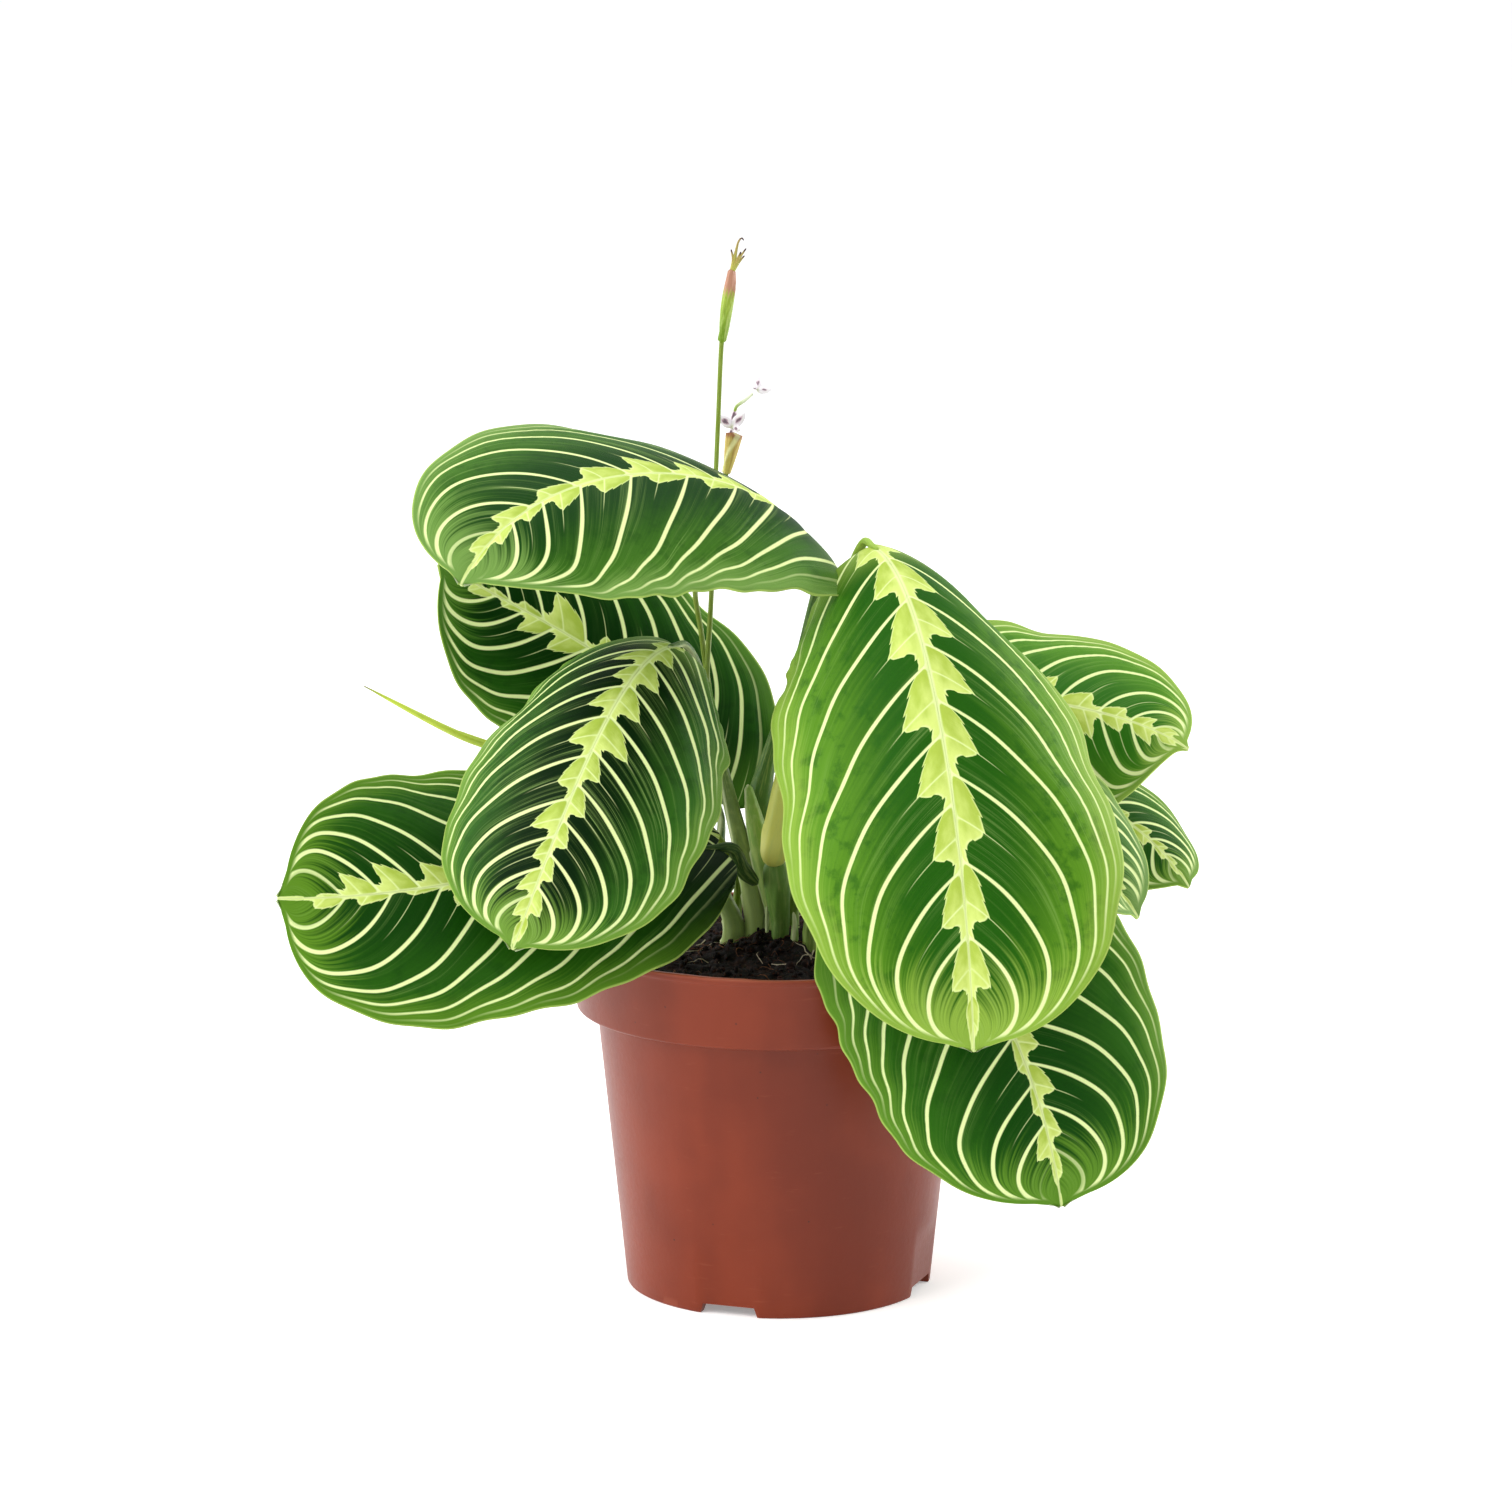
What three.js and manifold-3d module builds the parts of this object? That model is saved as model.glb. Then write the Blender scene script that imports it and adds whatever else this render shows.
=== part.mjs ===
// A potted prayer plant: a light-veined Maranta in a 12 cm nursery pot, with two flower stalks.
// Millimetres, +X right, +Y to the back, +Z up. The origin is the centre of the pot's underside.
import * as THREE from "three";
import { mergeVertices } from "three/addons/utils/BufferGeometryUtils.js";
import Module from "manifold-3d";

const wasm = await Module();
wasm.setup();

// ---- Driving dimensions ----

const GAP = 0.3; // clear space left between pieces that touch

const pot = {
  rimRadius: 60, // outside of the rim band at its lower edge
  height: 105,
  bandHeight: 21, // the wider band round the rim
  bandStep: 6, // how far the band stands out from the body below it
  bandFlare: 1, // how much wider the band is at its top edge
  footRadius: 45.3, // outside of the foot ring
  wall: 1.2,
  lip: 0.6, // how far the rolled lip stands out from the band
  footWidth: 3, // radial width of the foot ring
  baseRise: 3, // height of the base panel above the table
  centreFootRadius: 12, // the middle of the base panel rests on the table
  segments: 48,
};

const drain = {
  count: 4, // notches round the foot, each with a slot in the base panel
  angle: -109.5, // direction of the first notch, in degrees from +X
  width: 19, // across the notch at its mouth
  depth: 9, // radial reach of the notch and slot, inwards from the wall
  slotWidth: 14,
};

const soil = {
  drop: 5.5, // from the pot's top edge down to the compost at the wall
  mound: 7, // how much higher the compost is round the stems
  moundRadius: 28,
  plantingDepth: 14, // how far the stems go into the compost
};

const blade = {
  thickness: 0.8,
  rows: 12,
  columnsPerSide: 4,
  widest: 0.54, // where along its length a blade is widest
  baseShare: 0.26, // width where the blade meets its stalk, as a share of the full width
  lobe: 4, // how far the two rounded lobes reach back past the stalk
  lobeEnd: 0.25, // share of the length where the lobes have run out
};

const stem = {
  sides: 8,
  steps: 10,
  straight: 4, // height above the compost up to which a planted stem stays upright
  bladeEnd: 1.2, // radius where a stalk meets its blade
  bladeGap: 0.6, // clear space there, as the blade's lobes reach back round the stalk
};

const growth = {
  soilLevel: 99.5, // the points of all growth are given for compost at this height at the wall
  rimRadius: 60, // and for a rim of this radius
  crownRadius: 20, // growth nearer the axis than this stays where it is on a wider pot
  outerRadius: 40, // growth further out than this moves out as far as the rim does
};

// ---- Small helpers ----

const vec = (p) => new THREE.Vector3(...p);
const radians = THREE.MathUtils.degToRad;
const lerp = THREE.MathUtils.lerp;

/** A closed BufferGeometry from an array of points and an array of triangle indices. */
function closedGeometry(points, triangles) {
  const geometry = new THREE.BufferGeometry();
  geometry.setAttribute(
    "position",
    new THREE.Float32BufferAttribute(points.flatMap((p) => [p.x, p.y, p.z]), 3),
  );
  geometry.setIndex(triangles);
  geometry.computeVertexNormals();
  return geometry;
}

/** The two triangles of a quad, whose corners run anticlockwise seen from outside. */
const quad = (a, b, c, d) => [a, b, c, a, c, d];

/** A three.js geometry as a manifold-3d solid. */
function toSolid(geometry) {
  const bare = geometry.clone();
  bare.deleteAttribute("normal");
  bare.deleteAttribute("uv");
  const merged = mergeVertices(bare, 1e-4);
  return new wasm.Manifold(
    new wasm.Mesh({
      numProp: 3,
      vertProperties: merged.attributes.position.array,
      triVerts: new Uint32Array(merged.index.array),
    }),
  );
}

/** A manifold-3d solid as a three.js geometry. */
function toGeometry(solid) {
  const mesh = solid.getMesh();
  const geometry = new THREE.BufferGeometry();
  geometry.setAttribute("position", new THREE.BufferAttribute(mesh.vertProperties, 3));
  geometry.setIndex(new THREE.BufferAttribute(mesh.triVerts, 1));
  geometry.computeVertexNormals();
  return geometry;
}

/** A profile of [radius, height] points turned round the Z axis. */
function turned(profile, segments) {
  const points = profile.map(([radius, height]) => new THREE.Vector2(radius, height));
  return new THREE.LatheGeometry(points, segments).rotateX(Math.PI / 2);
}

/** A tube along a curve, closed at both ends; radiusAt gives its radius from 0 (start) to 1 (end). */
function taperedTube(curve, radiusAt, steps = stem.steps, sides = stem.sides) {
  const frames = curve.computeFrenetFrames(steps);
  const points = [];
  const triangles = [];
  for (let i = 0; i <= steps; i++) {
    const centre = curve.getPointAt(i / steps);
    for (let j = 0; j < sides; j++) {
      const turn = (2 * Math.PI * j) / sides;
      points.push(
        centre
          .clone()
          .addScaledVector(frames.normals[i], radiusAt(i / steps) * Math.cos(turn))
          .addScaledVector(frames.binormals[i], radiusAt(i / steps) * Math.sin(turn)),
      );
    }
  }
  for (let i = 0; i < steps; i++) {
    for (let j = 0; j < sides; j++) {
      const next = (j + 1) % sides;
      const row = i * sides;
      triangles.push(...quad(row + j, row + next, row + sides + next, row + sides + j));
    }
  }
  const start = points.push(curve.getPointAt(0)) - 1;
  const end = points.push(curve.getPointAt(1)) - 1;
  for (let j = 0; j < sides; j++) {
    const next = (j + 1) % sides;
    triangles.push(start, next, j);
    triangles.push(end, steps * sides + j, steps * sides + next);
  }
  return closedGeometry(points, triangles);
}

/** A smooth curve through points given as [x, y, z]. */
const through = (points) => new THREE.CatmullRomCurve3(points.map(vec), false, "centripetal");

// ---- Materials ----

const finish = (color, roughness) => new THREE.MeshStandardMaterial({ color, roughness, metalness: 0 });
const terracottaPlastic = finish(0x9c4a36, 0.5);
const compost = finish(0x1e1511, 1.0);
const leafGreen = finish(0x3f7d2a, 0.45);
const youngLeaf = finish(0x8fb03a, 0.5);
const stalkGreen = finish(0x6f9a3c, 0.55);
const sheathGreen = finish(0x9fae4e, 0.6);
const driedBract = finish(0xa9803f, 0.8);
const petalWhite = finish(0xf3ecf2, 0.6);

const plant = new THREE.Group();

function add(name, geometry, material) {
  const mesh = new THREE.Mesh(geometry, material);
  mesh.name = name;
  plant.add(mesh);
}

/** Adds a piece of the living plant, which rises and sinks with the compost. */
function addGrowth(name, geometry, material) {
  add(name, geometry.translate(0, 0, pot.height - soil.drop - growth.soilLevel), material);
}

// ---- Pot ----

const bandBottom = pot.height - pot.bandHeight;
const bodyTopRadius = pot.rimRadius - pot.bandStep;
const lipRadius = pot.rimRadius + pot.bandFlare;
const bandTopInside = lipRadius - pot.wall;
const bandBottomInside = pot.rimRadius - pot.wall;
const floorTop = pot.baseRise + pot.wall;

/** Inside of the pot from the floor up to the rim, as [radius, height], shrunk by a gap. */
function insideProfile(gap) {
  return [
    [pot.footRadius - pot.wall - gap, floorTop + gap],
    [bodyTopRadius - pot.wall - gap, bandBottom + gap],
    [bandBottomInside - gap, bandBottom + pot.wall + gap],
    [bandTopInside - gap, pot.height],
  ];
}

function potSolid() {
  const footInside = pot.footRadius - pot.footWidth;
  const outside = [
    [0, 0],
    [pot.centreFootRadius, 0],
    [pot.centreFootRadius + pot.baseRise / 2, pot.baseRise],
    [footInside - pot.baseRise / 4, pot.baseRise],
    [footInside, 0],
    [pot.footRadius - 0.4, 0],
    [pot.footRadius, 0.6],
    [bodyTopRadius, bandBottom - 1],
    [pot.rimRadius - 0.8, bandBottom - 0.6],
    [pot.rimRadius, bandBottom + 0.6],
    [lipRadius, pot.height - 2],
    [lipRadius + pot.lip, pot.height - 1.2],
    [lipRadius + pot.lip, pot.height - 0.4],
    [lipRadius, pot.height],
  ];
  const inside = [
    ...insideProfile(0).reverse(),
    [pot.centreFootRadius + pot.baseRise / 2 - 0.4, floorTop],
    [pot.centreFootRadius - 0.6, pot.wall],
    [0, pot.wall],
  ];
  let solid = toSolid(turned([...outside, ...inside], pot.segments));
  for (let k = 0; k < drain.count; k++) {
    const turn = radians(drain.angle + (360 / drain.count) * k);
    const notch = new THREE.BoxGeometry(2 * drain.depth, drain.width, 2 * pot.baseRise);
    const slot = new THREE.BoxGeometry(drain.depth - pot.footWidth, drain.slotWidth, 4 * pot.baseRise);
    notch.translate(pot.footRadius, 0, 0);
    slot.translate(pot.footRadius - pot.footWidth - (drain.depth - pot.footWidth) / 2, 0, 0);
    for (const cutter of [notch, slot]) {
      solid = solid.subtract(toSolid(cutter.rotateZ(turn)));
    }
  }
  return solid;
}

// ---- Stems: every path starts at the compost and is planted in a socket of its own ----

const soilTop = pot.height - soil.drop;

/** How much higher the compost is than at the wall, at a distance from the pot's axis. */
function moundAt(radius) {
  const share = Math.min(1, radius / soil.moundRadius);
  return soil.mound * 0.5 * (1 + Math.cos(Math.PI * share));
}

const planted = [];

/** A point of the growth, moved out with a wider rim, so that the blades still hang clear of it. */
function spread([x, y, z]) {
  const radius = Math.hypot(x, y);
  const { crownRadius, outerRadius } = growth;
  const share = THREE.MathUtils.clamp((radius - crownRadius) / (outerRadius - crownRadius), 0, 1);
  const wider = Math.max(0, pot.rimRadius - growth.rimRadius);
  const stretch = 1 + (share * wider) / radius;
  return [x * stretch, y * stretch, z];
}

/** A stem through points given as [x, y, z], with radii evenly spaced along it. */
function addStem(name, points, radii, material) {
  const steps = Math.max(stem.steps, radii.length - 1);
  addGrowth(name, taperedTube(through(points), (share) => radiusAlong(radii, share), steps), material);
}

/** A planted stem: a straight foot in the compost, then a curve through the points above it. */
function addPlantedStem(name, foot, points, radii, material) {
  const [x, y] = foot;
  const surface = growth.soilLevel + moundAt(Math.hypot(x, y));
  const bottom = surface - soil.plantingDepth;
  const rooted = [bottom, surface, surface + stem.straight].map((z) => [x, y, z]);
  planted.push({ foot, radius: radii[0] });
  addStem(name, [...rooted, ...points], radii, material);
}

/** The radius at a share of a stem's length, from radii evenly spaced along it. */
function radiusAlong(radii, share) {
  const place = share * (radii.length - 1);
  const low = Math.min(radii.length - 2, Math.floor(place));
  return lerp(radii[low], radii[low + 1], place - low);
}

// ---- Leaf blades ----

/** Half the blade's width at a share of its length, as a share of the full half width. */
function outline(share) {
  if (share < blade.widest) {
    const fromWidest = (blade.widest - share) / blade.widest;
    const blunt = 1 - blade.baseShare ** 2;
    return Math.sqrt(1 - blunt * fromWidest ** 2.4);
  }
  const toTip = (share - blade.widest) / (1 - blade.widest);
  return Math.max(0.02, (1 - toTip ** 2.4) ** 0.62);
}

/** The curve that a blade's midrib follows. */
const spineOf = (leaf) => new THREE.CubicBezierCurve3(...leaf.spine.map(spread).map(vec));

/**
 * The middle surface of a blade. along runs 0 to 1 from stalk to tip, across runs -1 to 1 from the
 * left margin to the right one, seen from above with the tip away from the viewer.
 */
function bladePoint(leaf, along, across) {
  const spine = spineOf(leaf);
  const forward = spine.getTangent(along);
  const face = vec(leaf.face[0]).lerp(vec(leaf.face[1]), along);
  const up = face.addScaledVector(forward, -face.dot(forward)).normalize();
  const right = forward.clone().cross(up);
  const side = across < 0 ? leaf.left : leaf.right;
  const rise = radians(lerp(side.rise[0], side.rise[1], along));
  const bend = radians(lerp(side.curl[0], side.curl[1], along)) / (leaf.width / 2) + 1e-6;
  const reach = Math.abs(across) * outline(along) * (leaf.width / 2);
  const outward = (Math.sin(rise + bend * reach) - Math.sin(rise)) / bend;
  const upward = (Math.cos(rise) - Math.cos(rise + bend * reach)) / bend;
  const lobeShare = 0.5 - 0.5 * Math.cos(Math.PI * across);
  const back = blade.lobe * Math.max(0, 1 - along / blade.lobeEnd) ** 2 * lobeShare;
  return spine
    .getPoint(along)
    .addScaledVector(right, Math.sign(across) * outward)
    .addScaledVector(up, upward)
    .addScaledVector(forward, -back);
}

/** A blade as a thin closed sheet of even thickness round its middle surface. */
function bladeGeometry(leaf) {
  const columns = 2 * blade.columnsPerSide;
  const step = 1e-3;
  const upper = [];
  const lower = [];
  for (let i = 0; i <= blade.rows; i++) {
    const along = 0.5 - 0.5 * Math.cos((Math.PI * i) / blade.rows);
    for (let j = 0; j <= columns; j++) {
      const across = (2 * j) / columns - 1;
      const here = bladePoint(leaf, along, across);
      const ahead = bladePoint(leaf, Math.min(1, along + step), across);
      const behind = bladePoint(leaf, Math.max(0, along - step), across);
      const rightOf = bladePoint(leaf, along, Math.min(1, across + step));
      const leftOf = bladePoint(leaf, along, Math.max(-1, across - step));
      const normal = rightOf.sub(leftOf).cross(ahead.sub(behind)).normalize();
      upper.push(here.clone().addScaledVector(normal, blade.thickness / 2));
      lower.push(here.clone().addScaledVector(normal, -blade.thickness / 2));
    }
  }
  const width = columns + 1;
  const under = upper.length;
  const triangles = [];
  for (let i = 0; i < blade.rows; i++) {
    for (let j = 0; j < columns; j++) {
      const a = i * width + j;
      triangles.push(...quad(a, a + 1, a + width + 1, a + width));
      triangles.push(...quad(under + a, under + a + width, under + a + width + 1, under + a + 1));
    }
    const left = i * width;
    const right = left + columns;
    triangles.push(...quad(left, left + width, under + left + width, under + left));
    triangles.push(...quad(right, under + right, under + right + width, right + width));
  }
  for (let j = 0; j < columns; j++) {
    const tip = blade.rows * width + j;
    triangles.push(...quad(j, under + j, under + j + 1, j + 1));
    triangles.push(...quad(tip, tip + 1, under + tip + 1, under + tip));
  }
  return closedGeometry([...upper, ...lower], triangles);
}

const leaves = [
  {
    name: "top_left",
    spine: [[9, 0, 221.5], [-5, -15, 251], [-68, -34, 258], [-89, -62, 221]],
    face: [[0, 0, 1], [0, -0.5, 0.86]],
    width: 91,
    left: { rise: [-5, 0], curl: [-45, -40] },
    right: { rise: [4, 8], curl: [-25, -15] },
    foot: [-2, 8],
    stalk: [[-6, 8, 140], [-3, 7, 158], [1.5, 6, 172], [8, 4, 196]],
    radii: [2.3, 2.4, 3, 3.4, 1.7, 1.3, 1.3, stem.bladeEnd],
  },
  {
    name: "back_left",
    spine: [[-19, 20, 142], [-30, 42, 176], [-68, 48, 188], [-100, 35, 210]],
    face: [[0.1, -0.9, 0.45], [0, -0.85, 0.5]],
    width: 72,
    left: { rise: [0, 0], curl: [-25, -25] },
    right: { rise: [0, 0], curl: [-25, -25] },
    foot: [-13.5, 4],
    stalk: [[-18, 6, 120]],
    radii: [3.2, 3, 2.2, 1.8, stem.bladeEnd],
  },
  {
    name: "front_left",
    spine: [[-31, -15, 194], [-46, -38, 196], [-63, -66, 150], [-75, -75, 119]],
    face: [[-0.2, -0.7, 0.7], [-0.2, -0.9, 0.3]],
    width: 84,
    left: { rise: [-15, 0], curl: [-70, -25] },
    right: { rise: [-15, 0], curl: [-75, -30] },
    foot: [-7, 4],
    stalk: [[-11, 3, 130], [-17, 2, 155], [-22, -1, 180]],
    radii: [2.4, 2.3, 2, 1.7, stem.bladeEnd],
  },
  {
    name: "low_left",
    spine: [[-20, -15, 134], [-55, -30, 137], [-100, -50, 126], [-142, -52, 127]],
    face: [[0, -0.45, 0.9], [0, -0.9, 0.42]],
    width: 86,
    left: { rise: [0, 0], curl: [-25, -25] },
    right: { rise: [0, 0], curl: [-20, -20] },
  },
  {
    name: "front_right",
    spine: [[27, -20, 224], [42, -56, 222], [52, -92, 150], [54, -98, 95]],
    face: [[0, -0.6, 0.8], [0.05, -0.95, 0.2]],
    width: 102,
    left: { rise: [-28, 10], curl: [-75, -10] },
    right: { rise: [-22, 8], curl: [-60, -12] },
  },
  {
    name: "back_right_upper",
    spine: [[38, 24, 173], [58, 32, 173], [98, 42, 165], [110, 26, 148]],
    face: [[0.1, -0.6, 0.8], [0.3, -0.6, 0.7]],
    width: 79,
    left: { rise: [10, 12], curl: [-20, -15] },
    right: { rise: [-30, -30], curl: [-60, -60] },
    foot: [4, 12],
    stalk: [[7, 14, 140], [17, 18, 162]],
    radii: [2.2, 2, 1.8, 1.7, stem.bladeEnd],
  },
  {
    name: "back_right_lower",
    spine: [[60, 48, 142], [84, 58, 144], [111, 58, 130], [124, 46, 111]],
    face: [[0.3, -0.6, 0.7], [0.5, -0.7, 0.4]],
    width: 50,
    left: { rise: [-8, -8], curl: [-35, -35] },
    right: { rise: [-12, -12], curl: [-25, -25] },
    foot: [10, 8],
    stalk: [[17, 16, 122], [38, 34, 138]],
    radii: [2.2, 2, 1.8, 1.7, stem.bladeEnd],
  },
  {
    name: "right_inner",
    spine: [[48, 2, 155.5], [66, 1, 155.5], [87, -1, 138.5], [105, -5, 112.5]],
    face: [[0.3, -0.6, 0.7], [0.5, -0.7, 0.4]],
    width: 50,
    left: { rise: [5, 5], curl: [-25, -25] },
    right: { rise: [30, 30], curl: [-25, -25] },
    foot: [10, 0],
    stalk: [[17, 1, 130], [31, 2, 149]],
    radii: [2, 1.9, 1.8, 1.7, stem.bladeEnd],
  },
  {
    name: "low_right",
    spine: [[32, -30, 131], [50, -62, 129], [74, -74, 87], [80, -75, 44]],
    face: [[0.2, -0.8, 0.55], [0.2, -0.95, 0.2]],
    width: 92,
    left: { rise: [5, 5], curl: [-25, -25] },
    right: { rise: [5, 5], curl: [-30, -25] },
    foot: [9, -7],
    stalk: [[12, -12, 120]],
    radii: [2.2, 2, 1.9, 1.7, stem.bladeEnd],
  },
];

/** The last points of a stalk: it runs into the blade's base in the direction of the blade. */
function stalkEnd(name) {
  const spine = spineOf(leaves.find((each) => each.name === name));
  const forward = spine.getTangent(0);
  const end = spine.getPoint(0).addScaledVector(forward, -stem.bladeGap);
  return [end.clone().addScaledVector(forward, -6).toArray(), end.toArray()];
}

for (const leaf of leaves) {
  addGrowth("leaf_" + leaf.name, bladeGeometry(leaf), leafGreen);
  if (leaf.foot) {
    const points = [...leaf.stalk.map(spread), ...stalkEnd(leaf.name)];
    addPlantedStem("stalk_" + leaf.name, leaf.foot, points, leaf.radii, stalkGreen);
  }
}

// ---- The main shoot, with the two stalks that grow out of it ----

const shootTop = [-1.5, -5, 127.5];
addPlantedStem(
  "shoot_main",
  [0.4, -3],
  [[0, -3.2, 113], shootTop],
  [2.4, 2.4, 2.4, 3.1, 4, 2.4],
  stalkGreen,
);

const sheathStart = [-1.2, -5.3, shootTop[2] + 0.9];
addStem(
  "stalk_front_right",
  [sheathStart, [0.5, -6, 133], [1.5, -5.5, 140], [5, -3, 162], [15, -4, 195], ...stalkEnd("front_right")],
  [1.4, 4.1, 3.9, 3.5, 3.1, 2.7, 2.4, 2.1, 1.9, 1.8, 1.6, stem.bladeEnd],
  sheathGreen,
);
addStem(
  "stalk_low_left",
  [[-6.4, -4.6, 121], [-11, -8, 126.5], ...stalkEnd("low_left")],
  [1.2, 2.5, 2.3, 1.9, stem.bladeEnd],
  stalkGreen,
);

// ---- Young growth ----

addPlantedStem(
  "sheath_bud",
  [-1.5, 2.5],
  [[-5, 1.5, 128], [-9.3, 1, 150]],
  [1.5, 1.5, 2.3, 2.9, 2.7, 1],
  sheathGreen,
);
addPlantedStem("bud_small", [4.6, -5.5], [[4.2, -6, 113]], [1.3, 1.3, 1.2, 0.5], sheathGreen);
addPlantedStem("sprout_thin", [-3.6, -0.8], [[-3.6, -1.6, 114]], [0.6, 0.6, 0.5], sheathGreen);

const rolledBase = [-62, 14, 154];
const rolledStart = [-61.4, 14.1, 153.8];
addPlantedStem(
  "stalk_rolled",
  [-13, 9.5],
  [[-12.5, 8.5, 122], [-16, 6.5, 130], [-24, 8, 138.5], [-45, 15.5, 149.5], rolledStart].map(spread),
  [1.3, 1.2, 1.1, 1],
  stalkGreen,
);
addStem(
  "leaf_rolled",
  [rolledBase, [-90, 9, 161.5], [-123, 5, 179]].map(spread),
  [1, 1.3, 1.2, 0.8, 0.15],
  youngLeaf,
);

// ---- Flower stalks ----

const tallTop = [-17, 32, 277];
addPlantedStem(
  "flower_stalk_tall",
  [-8, 13],
  [[-12, 12, 130], [-16, 10, 147], [-21, 12, 167], [-20, 24, 206], [-18.6, 32, 242], tallTop],
  [1, 0.9, 0.8, 0.7, 0.6],
  stalkGreen,
);
addStem(
  "bract_tall",
  [[-16.9, 32, 277.3], [-15.4, 32, 289], [-13.9, 32, 298.4]],
  [0.8, 1.5, 1.5, 1.2, 0.7],
  stalkGreen,
);

const shortTop = [-15.8, 37, 237];
addPlantedStem(
  "flower_stalk_short",
  [-12, 16],
  [
    [-13, 18, 132],
    [-17, 16, 150],
    [-20, 19, 170],
    [-23, 23, 191],
    [-25, 28, 206],
    [-20, 35, 228],
    shortTop,
  ],
  [1, 0.9, 0.8, 0.8],
  stalkGreen,
);
addStem("bract_short", [[-15.6, 37, 237.5], [-13.4, 37.4, 249]], [1, 1.5, 1.8, 2], driedBract);

/** Several thin tapering pieces that leave one point together, joined as one solid. */
function spray(root, tips, rootRadius, tipRadius) {
  const parts = tips.map(([middle, tip]) =>
    toSolid(taperedTube(through([root, middle, tip]), (share) => lerp(rootRadius, tipRadius, share), 5, 6)),
  );
  return toGeometry(wasm.Manifold.union(parts));
}

addGrowth(
  "dried_flowers",
  spray(
    [-13.8, 32, 298.9],
    [
      [[-12.8, 32, 304], [-11.4, 32, 308.5]],
      [[-12, 31.6, 302], [-9.7, 31, 305.4]],
      [[-12, 32.6, 301], [-10.2, 33.4, 303]],
      [[-13.6, 32, 302], [-14.2, 32, 305]],
    ],
    0.6,
    0.25,
  ),
  driedBract,
);

/** A small flower: flat rounded petals round a short throat, joined as one solid. */
function flower(centre, petals) {
  const throat = toSolid(new THREE.SphereGeometry(1, 8, 6).translate(...centre));
  const blades = petals.map(([x, y, z]) => {
    const reach = new THREE.Vector3(x, y, z);
    const petal = new THREE.SphereGeometry(0.5, 8, 6).scale(0.9, reach.length() * 1.15, 3);
    const lengthwise = new THREE.Vector3(0, 1, 0);
    const turn = new THREE.Quaternion().setFromUnitVectors(lengthwise, reach.clone().normalize());
    petal.applyQuaternion(turn).translate(...reach.multiplyScalar(0.5).add(vec(centre)));
    return toSolid(petal);
  });
  return toGeometry(wasm.Manifold.union([throat, ...blades]));
}

addGrowth(
  "flower_lower",
  flower([-14, 37.6, 251.2], [[-4, -1.5, 4], [4, -2, 5], [1, 2, 6.5], [2.5, -2.5, -0.2]]),
  petalWhite,
);
addStem(
  "flower_tube",
  [[-12.6, 37.4, 257.6], [-10, 37, 259.6], [-7.8, 36.6, 261.4]],
  [0.5, 0.6, 0.5],
  sheathGreen,
);
addGrowth(
  "flower_upper",
  flower([-6.6, 36.4, 262.6], [[0.6, 0.5, 4.5], [5, 0, 0.6], [-1.5, -2, 1.5]]),
  petalWhite,
);

add("pot", toGeometry(potSolid()), terracottaPlastic);

// ---- Compost ----

function soilSolid() {
  const rings = [0, 7, 14, 21, soil.moundRadius];
  const wallInside = insideProfile(GAP);
  const top = wallInside.pop();
  const share = (soilTop - wallInside[2][1]) / (top[1] - wallInside[2][1]);
  const edge = [lerp(wallInside[2][0], top[0], share), soilTop];
  const surface = rings.map((radius) => [radius, soilTop + moundAt(radius)]).reverse();
  let solid = toSolid(turned([[0, floorTop + GAP], ...wallInside, edge, ...surface], pot.segments));
  for (const { foot, radius } of planted) {
    const [x, y] = foot;
    const bottom = soilTop + moundAt(Math.hypot(x, y)) - soil.plantingDepth - GAP;
    const depth = 2 * soil.plantingDepth;
    const socket = new THREE.CylinderGeometry(radius + 1.2 * GAP, radius + 1.2 * GAP, depth, 16);
    socket.rotateX(Math.PI / 2).translate(x, y, bottom + depth / 2);
    solid = solid.subtract(toSolid(socket));
  }
  return solid;
}

add("soil", toGeometry(soilSolid()), compost);

export default plant;
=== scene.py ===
"""Looks of a potted prayer plant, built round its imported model.

Every length below is in millimetres in the part's own frame (+X right, +Y back, +Z up, origin in
the middle of the pot's underside). Meshes are scaled to metres when they are made.
"""

import itertools
import logging
import math
from dataclasses import dataclass, field
from enum import Enum

import bpy
import numpy as np
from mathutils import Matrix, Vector

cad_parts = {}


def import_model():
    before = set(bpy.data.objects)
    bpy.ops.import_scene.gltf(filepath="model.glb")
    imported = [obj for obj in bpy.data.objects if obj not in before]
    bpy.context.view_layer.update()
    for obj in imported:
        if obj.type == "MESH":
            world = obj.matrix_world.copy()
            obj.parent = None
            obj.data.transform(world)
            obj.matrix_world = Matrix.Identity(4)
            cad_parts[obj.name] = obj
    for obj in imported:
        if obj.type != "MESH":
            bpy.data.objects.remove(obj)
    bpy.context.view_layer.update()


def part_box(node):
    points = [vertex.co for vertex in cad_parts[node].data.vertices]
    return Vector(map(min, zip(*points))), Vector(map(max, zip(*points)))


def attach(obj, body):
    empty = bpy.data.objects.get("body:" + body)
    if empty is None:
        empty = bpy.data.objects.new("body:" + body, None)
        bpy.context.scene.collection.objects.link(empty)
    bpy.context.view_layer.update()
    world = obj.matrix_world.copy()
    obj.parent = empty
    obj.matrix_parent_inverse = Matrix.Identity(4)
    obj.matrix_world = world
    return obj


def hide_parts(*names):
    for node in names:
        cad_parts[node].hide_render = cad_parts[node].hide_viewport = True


LOG = logging.getLogger("prayer_plant")
MM = 0.001
BODY = "root"
SEED = 618

Colour = tuple[float, float, float]
Point = tuple[float, float, float]


class Slot(Enum):
    """The record's material slots."""

    POT = "terracotta_plastic"
    COMPOST = "compost"
    BLADE = "leaf_blade"
    YOUNG = "young_leaf"
    STALK = "stalk_green"
    SHEATH = "sheath_green"
    DRIED = "dried_bract"
    PETAL = "petal_white"


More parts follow.
